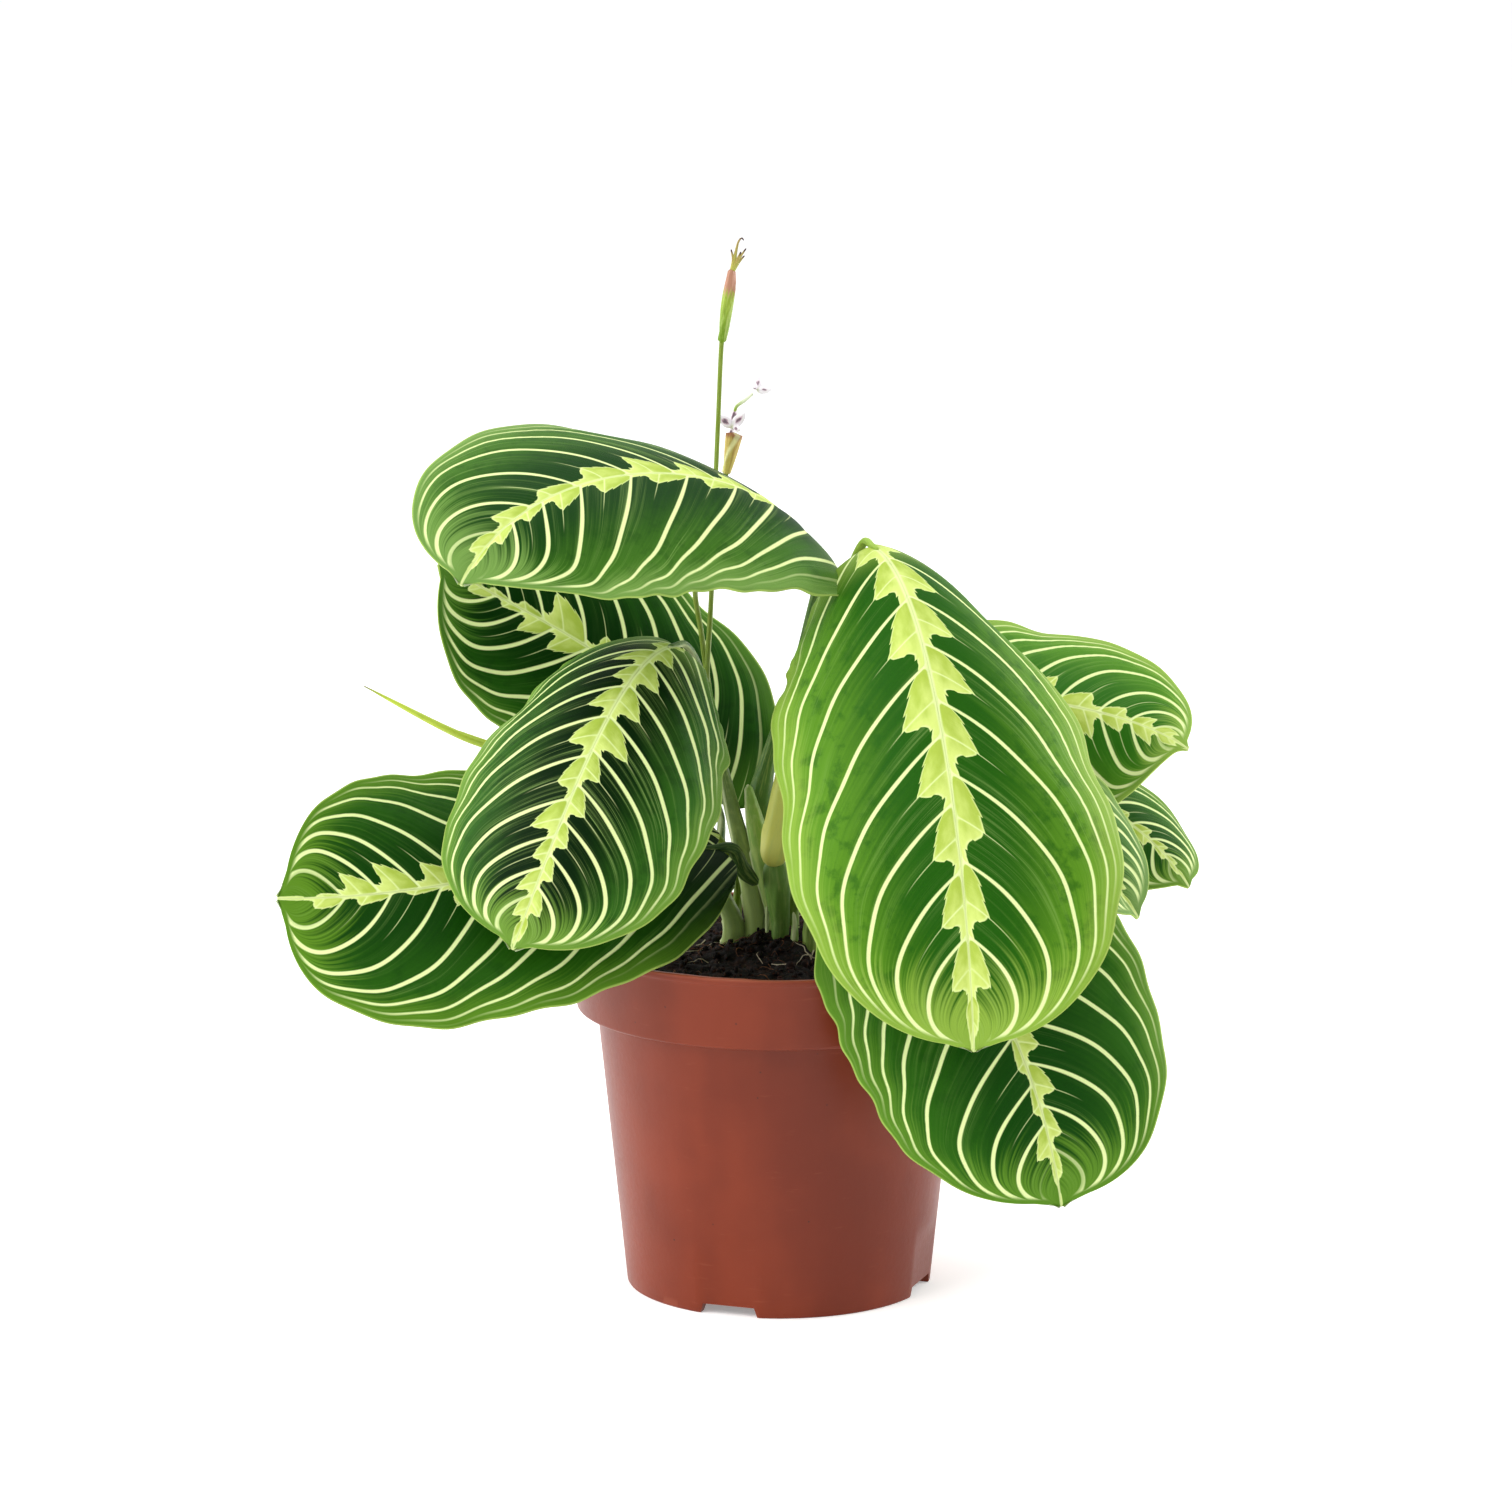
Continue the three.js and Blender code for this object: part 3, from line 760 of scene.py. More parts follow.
@dataclass
class Blade:
    """One open leaf blade on a cubic spine.

    Attributes:
        name: Ending of the leaf's node name.
        spine: Four control points of the midrib's curve.
        face: Directions that its upper face looks in, at its base and tip.
        width: Full width.
        left, right: Its two halves, seen from above with the tip away from the viewer.
        finish: Its upper face.
        veins: Main veins on each side over the blade's whole length.
        sweep: How squarely they leave the midrib.
        wave: Height of the waves in its margin.
        base: Left and right half width at its very base, as shares of the full half width.
        lobe: How far its rounded base reaches back past the stalk.
        blunt: Power of the outline at its tip; the smaller, the blunter.
        shape: Sizes that all blades share.
    """

    name: str
    spine: tuple[Point, Point, Point, Point]
    face: tuple[Point, Point]
    width: float
    left: Side
    right: Side
    finish: BladeFinish
    veins: float = 8.0
    sweep: float = 5.0
    wave: float = 1.9
    base: tuple[float, float] = (0.42, 0.42)
    lobe: float = 5.0
    blunt: float = 0.56
    shape: BladeShape = field(default_factory=BladeShape)

    def along_spine(self, along: np.ndarray) -> tuple[np.ndarray, np.ndarray]:
        """Points and unit tangents of the midrib's curve."""
        a, b, c, d = (np.array(p, float) for p in self.spine)
        t = np.asarray(along, float)[..., None]
        rest = 1 - t
        points = a * rest**3 + 3 * b * rest**2 * t + 3 * c * rest * t**2 + d * t**3
        tangents = (b - a) * rest**2 + 2 * (c - b) * rest * t + (d - c) * t**2
        return points, tangents / np.linalg.norm(tangents, axis=-1)[..., None]

    def outline(self, along: np.ndarray, across: np.ndarray) -> np.ndarray:
        """Half width as a share of the full half width."""
        shape = self.shape
        inner = np.clip((shape.widest - along) / shape.widest, 0, 1)
        outer = np.clip((along - shape.widest) / (1 - shape.widest), 0, 1)
        base = np.where(across < 0, self.base[0], self.base[1])
        near = np.sqrt(1 - (1 - base**2) * inner**2.8)
        far = np.maximum(0.02, (1 - outer**2.5) ** self.blunt)
        uneven = 1 + 0.012 * np.sin(along * 23 + self.finish.seed)
        uneven = uneven + 0.008 * np.sin(along * 51 + self.width)
        return np.where(along < shape.widest, near, far) * uneven

    def surface(self, along: np.ndarray, across: np.ndarray) -> np.ndarray:
        """Points of the middle surface.

        Args:
            along: Shares of the length.
            across: Shares of the half width, below 0 on the left half.

        Returns:
            One point for each pair.
        """
        points, forward = self.along_spine(along)
        mix = along[..., None]
        up = np.array(self.face[0]) * (1 - mix) + np.array(self.face[1]) * mix
        up = up - forward * np.sum(up * forward, axis=-1)[..., None]
        up = up / np.linalg.norm(up, axis=-1)[..., None]
        sideways = np.cross(forward, up)

        def angle(pick: str) -> np.ndarray:
            """The rise or the curl of each half, in radians."""
            left, right = getattr(self.left, pick), getattr(self.right, pick)
            low = np.where(across < 0, left[0], right[0])
            high = np.where(across < 0, left[1], right[1])
            return np.radians(low + (high - low) * along)

        rise = angle("rise")
        bend = angle("curl") / (self.width / 2) + 1e-6
        reach = np.abs(across) * self.outline(along, across) * self.width / 2
        outward = (np.sin(rise + bend * reach) - np.sin(rise)) / bend
        upward = (np.cos(rise) - np.cos(rise + bend * reach)) / bend
        hollow = np.clip(1 - along / self.shape.lobe_end, 0, 1) ** 2
        back = self.lobe * hollow * np.sin(0.93 * np.pi * np.abs(across) ** 0.8)
        nearly = np.clip((along - 0.93) / 0.07, 0, 1) ** 2
        back = back - self.shape.point * nearly * np.exp(-((reach / 2.0) ** 2))
        points = points + sideways * (np.sign(across) * outward)[..., None]
        return points + up * upward[..., None] - forward * back[..., None]

    def vein_phase(self, along: np.ndarray, across: np.ndarray) -> tuple[np.ndarray, np.ndarray]:
        """Where the veins lie.

        Args:
            along: Shares of the length.
            across: Shares of the half width.

        Returns:
            A count that is whole on each main vein, and how strong the veins are.
        """
        out = np.abs(across)
        start = along + np.log(1 - out / 1.02) / self.sweep
        strength = np.clip((start + 0.19) / 0.12, 0, 1) * np.clip((0.91 - start) / 0.06, 0, 1)
        shift = np.where(across < 0, 0.12, -0.14)
        wobble = 0.14 * np.sin(start * 9 + self.finish.seed + np.sign(across) * 2)
        crowded = start + 0.8 * np.clip(start - 0.62, 0, None) ** 2
        return self.veins * crowded + shift + wobble + 12.3, strength

    def build(self) -> bpy.types.Object:
        """The blade as a thin closed sheet, quilted between its veins and waved at its margin."""
        shape = self.shape
        share = np.linspace(0, 1, shape.rows)
        along = 0.55 * share + 0.45 * (0.5 - 0.5 * np.cos(np.pi * share))
        half = np.linspace(0, 1, shape.columns + 1) ** 1.25
        across = np.concatenate([-half[:0:-1], half])
        u, v = np.meshgrid(along, across, indexing="ij")
        middle = self.surface(u, v)
        phase, strength = self.vein_phase(u, v)
        rib = np.zeros_like(u)
        centre = shape.columns
        steps = np.linalg.norm(np.diff(middle, axis=1), axis=2)
        rib[:, centre + 1 :] = np.cumsum(steps[:, centre:], axis=1)
        rib[:, :centre] = np.cumsum(steps[:, centre - 1 :: -1], axis=1)[:, ::-1]
        rim = np.where(v < 0, rib[:, :1], rib[:, -1:]) - rib
        lengthwise, crosswise = np.gradient(middle, along, across, axis=(0, 1))
        d_along = np.gradient(phase, along, axis=0)
        d_across = np.gradient(phase, across, axis=1)
        e = np.sum(lengthwise**2, axis=2)
        f = np.sum(lengthwise * crosswise, axis=2)
        h = np.sum(crosswise**2, axis=2)
        slope = h * d_along**2 - 2 * f * d_along * d_across + e * d_across**2
        slope = slope / (e * h - f * f + 1e-6)
        pitch = 1 / np.sqrt(np.maximum(slope, 1e-4))
        normal = np.cross(crosswise, lengthwise)
        normal /= np.linalg.norm(normal, axis=2)[..., None] + 1e-9
        out = np.abs(v)
        taper = np.clip(rim / 6, 0, 1) * np.clip(rib / 4, 0, 1) * np.clip((1 - u) * 8, 0, 1)
        lift = shape.quilt * np.sin(np.pi * (phase % 1)) ** 0.8 * np.clip(pitch / 6, 0, 1) * taper
        lift = lift - 0.35 * np.exp(-((rib / 1.1) ** 2))
        turn = np.sign(v) * 3 + self.finish.seed
        ripple = np.sin(u * 15 + turn) + 0.6 * np.sin(u * 34 + turn * 2) * (1 - u)
        crinkle = 0.5 * np.sin(phase * 2 * np.pi) * np.clip(1 - u * 5, 0, 1) * out
        middling = np.sin(np.pi * np.clip(u, 0, 1)) ** 0.5
        lift = lift + self.wave * 0.6 * ripple * out**4 * middling + crinkle
        keel = shape.keel * np.exp(-((rib / 0.95) ** 2)) * (1 - 0.75 * u) * np.clip(u * 30, 0, 1)
        top = middle + normal * (lift + shape.thickness / 2)[..., None]
        under = middle + normal * (lift - shape.thickness / 2 - keel)[..., None]
        rows, columns = u.shape
        count = rows * columns
        faces = sheet_faces(rows, columns) + sheet_faces(rows, columns, count, flip=True)
        upper = (rows - 1) * (columns - 1)
        for i in range(rows - 1):
            a, b = i * columns, (i + 1) * columns - 1
            faces.append((a, a + columns, count + a + columns, count + a))
            faces.append((b, count + b, count + b + columns, b + columns))
        for j in range(columns - 1):
            last = (rows - 1) * columns + j
            faces.append((j, count + j, count + j + 1, j + 1))
            faces.append((last, last + 1, count + last + 1, count + last))
        values = {"along": u, "across": v, "phase": phase, "pitch": pitch, "rib": rib, "rim": rim}
        values["strength"] = strength
        attributes = {key: np.concatenate([a.ravel(), a.ravel()]) for key, a in values.items()}
        points = np.concatenate([top.reshape(-1, 3), under.reshape(-1, 3)])
        piece = make_piece(f"leaf_{self.name}_look", points, faces, attributes)
        numbers = np.zeros(len(faces), int)
        numbers[upper : 2 * upper] = 1
        piece.data.polygons.foreach_set("material_index", numbers)
        return piece

    def dress(self, underside: bpy.types.Material) -> None:
        """Builds the blade and gives it its two faces."""
        top = self.finish.build(f"blade_{self.name}")
        settle(self.build(), Slot.BLADE, f"leaf_{self.name}", top, underside)


# ---- Stems ----


@dataclass
class Stem:
    """A stalk, sheath, shoot or rolled leaf along a smooth curve.

    Attributes:
        node: The CAD node it stands for.
        points: Points of its path.
        radii: Radii evenly spaced along it.
        finish: Its material.
        slot: Its material slot.
        ribs: Number of lengthwise ribs.
        rib_depth: Depth of the ribs as a share of the radius.
        overlap: Height of a sheath's overlapping edge as a share of the radius.
        twist: Turns of that edge over the length.
        cap: Length of its rounded ends as a share of the radius.
        sides: Vertices round it.
        step: Length between its rings.
    """

    node: str
    points: list
    radii: list
    finish: StalkFinish
    slot: Slot = Slot.STALK
    ribs: int = 7
    rib_depth: float = 0.03
    overlap: float = 0.0
    twist: float = 0.3
    cap: float = 1.2
    sides: int = 30
    step: float = 1.1

    def build(self) -> bpy.types.Object:
        """The stem as a closed tube with rounded ends."""
        rough = smooth_path(self.points, 40)
        length = float(np.sum(np.linalg.norm(np.diff(rough, axis=0), axis=1)))
        count = int(np.clip(length / self.step, 24, 150))
        path = smooth_path(self.points, count)
        share = np.linspace(0, 1, count)
        radius = np.interp(share, np.linspace(0, 1, len(self.radii)), self.radii)
        kernel = np.hanning(9)[1:-1]
        padded = np.pad(radius, 3, mode="edge")
        radius = np.convolve(padded, kernel / kernel.sum(), mode="valid")
        close = np.minimum(share, 1 - share) * length / np.maximum(radius, 0.1)
        radius = radius * np.sqrt(1 - np.clip(1 - close / self.cap, 0, 1) ** 2 * 0.96)
        first, second = frames_along(path)
        around = np.linspace(0, 1, self.sides, endpoint=False)
        turn = 2 * np.pi * around[None, :] + 0 * share[:, None]
        seed = sum(map(ord, self.node))
        swell = 1 + self.rib_depth * np.cos(self.ribs * turn + seed)
        swell = swell + 0.03 * np.sin(share[:, None] * length / 5 + turn + seed)
        edge = (turn / (2 * np.pi) - self.twist * share[:, None]) % 1
        swell = swell + self.overlap * np.exp(-edge * 5)
        swell = swell - self.overlap * 0.5 * np.exp(-(1 - edge) * 14)
        reach = radius[:, None] * swell
        rings = path[:, None] + first[:, None] * (reach * np.cos(turn))[..., None]
        rings = rings + second[:, None] * (reach * np.sin(turn))[..., None]
        points = np.concatenate([rings.reshape(-1, 3), path[:1], path[-1:]])
        hem = np.minimum(edge, 1 - edge) * 2 * np.pi * reach
        attributes = {
            "along": np.concatenate([np.repeat(share, self.sides), [0, 1]]),
            "around": np.concatenate([np.tile(around, count), [0, 0]]),
            "reach": np.concatenate([np.repeat(share * length, self.sides), [0, length]]),
            "hem": np.concatenate([hem.ravel(), [9, 9]]),
        }
        return make_piece(f"{self.node}_look", points, tube_faces(count, self.sides), attributes)

    def dress(self) -> None:
        """Builds the stem and gives it its finish."""
        settle(self.build(), self.slot, self.node, self.finish.build(f"skin_{self.node}"))


# ---- Pot ----


@dataclass
class Pot:
    """The nursery pot.

    Attributes:
        rim_radius: Radius at the foot of the rim band.
        height: Full height.
        band_height: Height of the rim band.
        band_step: How far the body is set in below the band.
        band_flare: How much wider the band is at its top.
        foot_radius: Radius of the foot ring.
        wall: Thickness of the wall.
        lip: How far the lip stands out.
        foot_width: Width of the foot ring.
        base_rise: Height of the raised base panel.
        centre_foot: Radius of the flat in the middle of the base.
        drains: Number of drain notches.
        drain_angle: Direction of the first notch in degrees.
        drain_width, drain_depth: Size of a notch in the foot ring.
        slot_width: Width of the slot through the base panel.
        facet_top: Height where the flat above a notch ends.
        lip_uneven: How uneven the lip's height is.
        segments: Vertices round the pot.
    """

    rim_radius: float = 60.0
    height: float = 105.0
    band_height: float = 21.0
    band_step: float = 6.0
    band_flare: float = 1.0
    foot_radius: float = 45.3
    wall: float = 1.2
    lip: float = 0.6
    foot_width: float = 3.0
    base_rise: float = 3.0
    centre_foot: float = 12.0
    drains: int = 4
    drain_angle: float = -109.5
    drain_width: float = 19.0
    drain_depth: float = 9.0
    slot_width: float = 14.0
    facet_top: float = 22.0
    lip_uneven: float = 0.22
    segments: int = 240

    @classmethod
    def packed(cls) -> "Pot":
        """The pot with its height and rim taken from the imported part."""
        _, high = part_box("pot")
        return cls(height=high[2] / MM, rim_radius=high[0] / MM - cls.band_flare - cls.lip)

    def profile(self) -> np.ndarray:
        """The closed section as radius and height, with rounded steps and edges."""
        bottom = self.height - self.band_height
        body = self.rim_radius - self.band_step
        top = self.rim_radius + self.band_flare
        floor = self.base_rise + self.wall
        foot = self.foot_radius - self.foot_width
        corners = [
            (0, 0, 0),
            (self.centre_foot, 0, 0.5),
            (self.centre_foot + 1.5, self.base_rise, 0.5),
            (foot - 0.75, self.base_rise, 0.5),
            (foot, 0, 0.3),
            (self.foot_radius, 0, 0.6),
            (body, bottom - 0.7, 0.8),
            (self.rim_radius, bottom, 1.0),
            (top, self.height - 2.4, 0.5),
            (top + self.lip, self.height - 1.6, 0.4),
            (top + self.lip, self.height, 0.7),
            (top - self.wall, self.height, 0.5),
            (self.rim_radius - self.wall, bottom + self.wall, 0.8),
            (body - self.wall, bottom, 0.8),
            (self.foot_radius - self.wall, floor, 1.0),
            (self.centre_foot + 1.1, floor, 0.5),
            (self.centre_foot - 0.6, self.wall, 0.5),
            (0, self.wall, 0),
        ]
        points: list[np.ndarray] = []
        for index, (radius, height, rounding) in enumerate(corners):
            here = np.array([radius, height], float)
            if not rounding:
                points.append(here)
                continue
            before = np.array(corners[index - 1][:2], float) - here
            after = np.array(corners[index + 1][:2], float) - here
            start = here + before / np.linalg.norm(before) * rounding
            end = here + after / np.linalg.norm(after) * rounding
            for t in (0.0, 0.25, 0.5, 0.75, 1.0):
                points.append(start * (1 - t) ** 2 + here * 2 * t * (1 - t) + end * t**2)
        fine = [points[0]]
        for a, b in zip(points, points[1:]):
            pieces = max(1, int(np.linalg.norm(b - a) / 3.0))
            fine.extend(a + (b - a) * (k + 1) / pieces for k in range(pieces))
        return np.array(fine)

    def build(self) -> bpy.types.Object:
        """The turned pot, with a flat above each notch, an uneven lip and open drains."""
        profile = self.profile()[1:-1]
        turn = np.linspace(0, 2 * np.pi, self.segments, endpoint=False)
        radius = np.repeat(profile[:, :1], self.segments, axis=1)
        height = np.repeat(profile[:, 1:], self.segments, axis=1)
        nearest = np.full(self.segments, 9.0)
        for k in range(self.drains):
            centre = math.radians(self.drain_angle + 360 / self.drains * k)
            nearest = np.minimum(nearest, np.abs((turn - centre + np.pi) % (2 * np.pi) - np.pi))
        half = math.asin(self.drain_width * 0.5 / self.foot_radius)
        flat = np.minimum(1, math.cos(half) / np.cos(np.minimum(nearest, 1.2)))
        share = np.clip((self.facet_top - height) / 5, 0, 1) * (radius > self.foot_radius - 6)
        radius = radius * (1 + (flat[None] - 1) * share)
        spots = np.stack([np.cos(turn) * 3 + 8, np.sin(turn) * 3 + 8, 0 * turn + 3], axis=1)
        wobble = fractal(spots, SEED, 4)
        near_lip = np.clip((height - self.height + 3) / 3, 0, 1)
        height = height + self.lip_uneven * wobble[None] * near_lip
        radius = radius + 0.12 * fractal(spots * 1.7, SEED + 9, 3)[None] * near_lip * (radius > 50)
        rings = np.stack([radius * np.cos(turn), radius * np.sin(turn), height], axis=2)
        ends = np.array([[0, 0, 0], [0, 0, self.wall]], float)
        points = np.concatenate([rings.reshape(-1, 3), ends])
        piece = make_piece("pot_look", points, tube_faces(len(profile), self.segments), {})
        for k in range(self.drains):
            self.cut_drain(piece, math.radians(self.drain_angle + 360 / self.drains * k))
        piece.data.polygons.foreach_set("use_smooth", [True] * len(piece.data.polygons))
        piece.data.set_sharp_from_angle(angle=math.radians(38))
        return piece

    def cut_drain(self, piece: bpy.types.Object, angle: float) -> None:
        """Cuts a slanted notch through the foot and a slot through the base panel behind it."""
        reach = self.drain_depth - self.foot_width
        notch = (self.foot_radius, self.drain_depth, self.drain_width, self.base_rise, 1.6)
        inside = self.foot_radius - self.foot_width - reach / 2
        slot = (inside, reach / 2, self.slot_width, 12.0, 0.0)
        for centre, deep, width, top, slant in (notch, slot):
            corners = []
            for z, narrower in ((-2.0, 0.0), (top, slant)):
                for x, y in ((-1, -1), (1, -1), (1, 1), (-1, 1)):
                    across = y * (width / 2 - narrower)
                    out = centre + x * deep
                    turned = (
                        out * math.cos(angle) - across * math.sin(angle),
                        out * math.sin(angle) + across * math.cos(angle),
                        z,
                    )
                    corners.append(turned)
            faces = [(3, 2, 1, 0), (4, 5, 6, 7)]
            faces += [(i, (i + 1) % 4, (i + 1) % 4 + 4, i + 4) for i in range(4)]
            cutter = make_piece("drain_cutter", np.array(corners), faces, {})
            cut = piece.modifiers.new("drain", "BOOLEAN")
            cut.operation = "DIFFERENCE"
            cut.solver = "EXACT"
            cut.object = cutter
            apply_modifiers(piece)
            bpy.data.objects.remove(cutter)

    def dress(self) -> None:
        """Builds the pot and gives it its finish."""
        settle(self.build(), Slot.POT, "pot", PotFinish(self.height).build("terracotta_plastic"))


# ---- Compost ----


@dataclass
class Compost:
    """The peat in the pot: a rough surface, loose crumbs, and fibres and rootlets.

    Attributes:
        pot: The pot it fills.
        drop: How far its edge lies below the rim.
        mound: How much higher it is in the middle.
        mound_radius: Radius of the mound.
        gap: Clear space between it and the pot.
        roughness: Height of its lumps.
        spread: Radius within which loose bits lie.
        crumbs, fibres, rootlets: How many of each.
        segments, rings: Steps round the surface and from the middle to the wall.
    """

    pot: Pot
    drop: float = 5.5
    mound: float = 7.0
    mound_radius: float = 28.0
    gap: float = 0.3
    roughness: float = 1.5
    spread: float = 57.0
    crumbs: int = 1500
    fibres: int = 190
    rootlets: int = 26
    segments: int = 260
    rings: int = 96

    @property
    def level(self) -> float:
        """Height of the surface at the wall."""
        return self.pot.height - self.drop

    def height_at(self, x: np.ndarray, y: np.ndarray) -> np.ndarray:
        """Height of the rough surface."""
        radius = np.hypot(x, y)
        share = np.clip(radius / self.mound_radius, 0, 1)
        smooth = self.level + self.mound * 0.5 * (1 + np.cos(np.pi * share))
        spots = np.stack([x / 5 + 40, y / 5 + 40, 0 * x], axis=-1)
        rough = self.roughness * fractal(spots, SEED + 1, 5)
        return smooth + rough * np.clip((59.5 - radius) / 4, 0.3, 1) - 0.2

    def surface(self) -> bpy.types.Object:
        """The compost as one closed body down to the pot's floor."""
        segments, pot = self.segments, self.pot
        turn = np.linspace(0, 2 * np.pi, segments, endpoint=False)
        top_radius = pot.rim_radius - pot.wall - self.gap + 0.7
        radii = np.linspace(0.6, top_radius, self.rings)
        grid_r, grid_t = np.meshgrid(radii, turn, indexing="ij")
        x, y = grid_r * np.cos(grid_t), grid_r * np.sin(grid_t)
        top = np.stack([x, y, self.height_at(x, y)], axis=2)
        bottom = pot.height - pot.band_height
        body = pot.rim_radius - pot.band_step - pot.wall - self.gap
        floor = pot.base_rise + pot.wall + self.gap
        foot = pot.foot_radius - pot.wall - self.gap
        steps = (0.25, 0.5, 0.75, 1.0)
        below = [
            (pot.rim_radius - pot.wall - self.gap, bottom + pot.wall + self.gap + 1),
            (body, bottom + self.gap),
            *((body + (foot - body) * s, bottom + (floor - bottom) * s) for s in steps),
            (30.0, floor),
            (14.0, floor),
        ]
        lower = np.array([[(r * math.cos(t), r * math.sin(t), z) for t in turn] for r, z in below])
        peak = [[0, 0, float(top[0, 0, 2])]]
        points = np.concatenate([top.reshape(-1, 3), lower.reshape(-1, 3), peak])
        count = self.rings + len(below)
        faces = sheet_faces(count, segments, flip=True, ring=True)
        middle = count * segments
        faces += [(middle, j, (j + 1) % segments) for j in range(segments)]
        last = (count - 1) * segments
        faces.append(tuple(last + j for j in reversed(range(segments))))
        return make_piece("soil_look", points, faces, {})

    def scatter(self, random: np.random.Generator, count: int) -> tuple[np.ndarray, ...]:
        """The x, y and z of places spread evenly over the surface."""
        radius = np.sqrt(random.uniform(0.0, 1.0, count)) * self.spread
        turn = random.uniform(0, 2 * np.pi, count)
        x, y = radius * np.cos(turn), radius * np.sin(turn)
        return x, y, self.height_at(x, y)

    def loose_crumbs(self) -> bpy.types.Object:
        """Many small irregular lumps of peat, half sunk in the surface."""
        random = np.random.default_rng(SEED + 2)
        golden = (1 + 5**0.5) / 2
        signs = [(a, b) for a in (-1, 1) for b in (-golden, golden)]
        ball = np.array([p for a, b in signs for p in ((0, a, b), (a, b, 0), (b, 0, a))], float)
        ball /= np.linalg.norm(ball[0])
        near = 1.1
        triangles = []
        for i, j, k in itertools.combinations(range(12), 3):
            a, b, c = ball[i], ball[j], ball[k]
            sides = [np.linalg.norm(a - b), np.linalg.norm(b - c), np.linalg.norm(a - c)]
            if max(sides) < near:
                outward = np.dot(np.cross(b - a, c - a), a + b + c) > 0
                triangles.append((i, j, k) if outward else (i, k, j))
        x, y, z = self.scatter(random, self.crumbs)
        size = random.uniform(0.5, 1.0, self.crumbs) ** 2.4 * random.uniform(0.6, 2.8, self.crumbs)
        points, faces = [], []
        for index in range(self.crumbs):
            shape = ball * random.uniform(0.6, 1.25, (12, 1)) * random.uniform(0.6, 1.2, 3)
            shape = shape * size[index]
            points.append(shape + [x[index], y[index], z[index] + size[index] * 0.3])
            faces += [tuple(12 * index + k for k in triangle) for triangle in triangles]
        piece = make_piece("soil_crumbs", np.concatenate(points), faces, {})
        smoother = piece.modifiers.new("rounded", "SUBSURF")
        smoother.levels = smoother.render_levels = 1
        apply_modifiers(piece)
        return piece

    def strands(
        self, name: str, count: int, reach: float, thick: float, seed: int
    ) -> bpy.types.Object:
        """Thin curled strands that lie on the surface.

        Args:
            name: The piece's name.
            count: How many.
            reach: Length of the longest.
            thick: Radius of the thickest.
            seed: Chooses their places and shapes.

        Returns:
            All of them as one mesh.
        """
        random = np.random.default_rng(seed)
        x, y, _ = self.scatter(random, count)
        points, faces = [], []
        steps, sides = 12, 5
        for index in range(count):
            heading = random.uniform(0, 2 * np.pi)
            length = reach * random.uniform(0.3, 1.0)
            bends = np.cumsum(random.normal(0, 0.3, steps))
            dx = np.cumsum(np.cos(heading + bends)) * length / steps
            dy = np.cumsum(np.sin(heading + bends)) * length / steps
            px, py = x[index] + dx, y[index] + dy
            scale = np.minimum(1, self.spread / np.maximum(np.hypot(px, py), 1))
            px, py = px * scale, py * scale
            arch = np.sin(np.linspace(0, np.pi, steps)) * random.uniform(0.0, 1.4)
            path = np.stack([px, py, self.height_at(px, py) + 0.35 + arch], axis=1)
            first, second = frames_along(path)
            radius = thick * random.uniform(0.5, 1.0) * np.linspace(1, 0.4, steps)
            turn = np.linspace(0, 2 * np.pi, sides, endpoint=False)
            ring = first[:, None] * np.cos(turn)[None, :, None]
            ring = ring + second[:, None] * np.sin(turn)[None, :, None]
            points.append((path[:, None] + ring * radius[:, None, None]).reshape(-1, 3))
            base = index * steps * sides
            faces += sheet_faces(steps, sides, base, ring=True)
            faces.append(tuple(base + j for j in reversed(range(sides))))
            faces.append(tuple(base + (steps - 1) * sides + j for j in range(sides)))
        return make_piece(name, np.concatenate(points), faces, {})

    def dress(self) -> None:
        """Builds the compost and all that lies on it."""
        crumb = PeatFinish(dark=srgb(16, 10, 8), light=srgb(78, 48, 34), scale=700.0)
        fibre = PeatFinish(srgb(58, 34, 22), srgb(128, 88, 60), scale=400.0, share=0.5)
        root = PeatFinish(srgb(150, 134, 112), srgb(196, 184, 160), scale=300.0, share=0.45)
        settle(self.surface(), Slot.COMPOST, "soil", PeatFinish().build("peat"))
        settle(self.loose_crumbs(), Slot.COMPOST, None, crumb.build("peat_crumbs"))
        piece = self.strands("soil_fibres", self.fibres, 9.0, 0.22, SEED + 3)
        settle(piece, Slot.COMPOST, None, fibre.build("peat_fibres"))
        piece = self.strands("rootlets", self.rootlets, 22.0, 0.26, SEED + 4)
        settle(piece, Slot.COMPOST, None, root.build("rootlets"))


# ---- Flowers ----


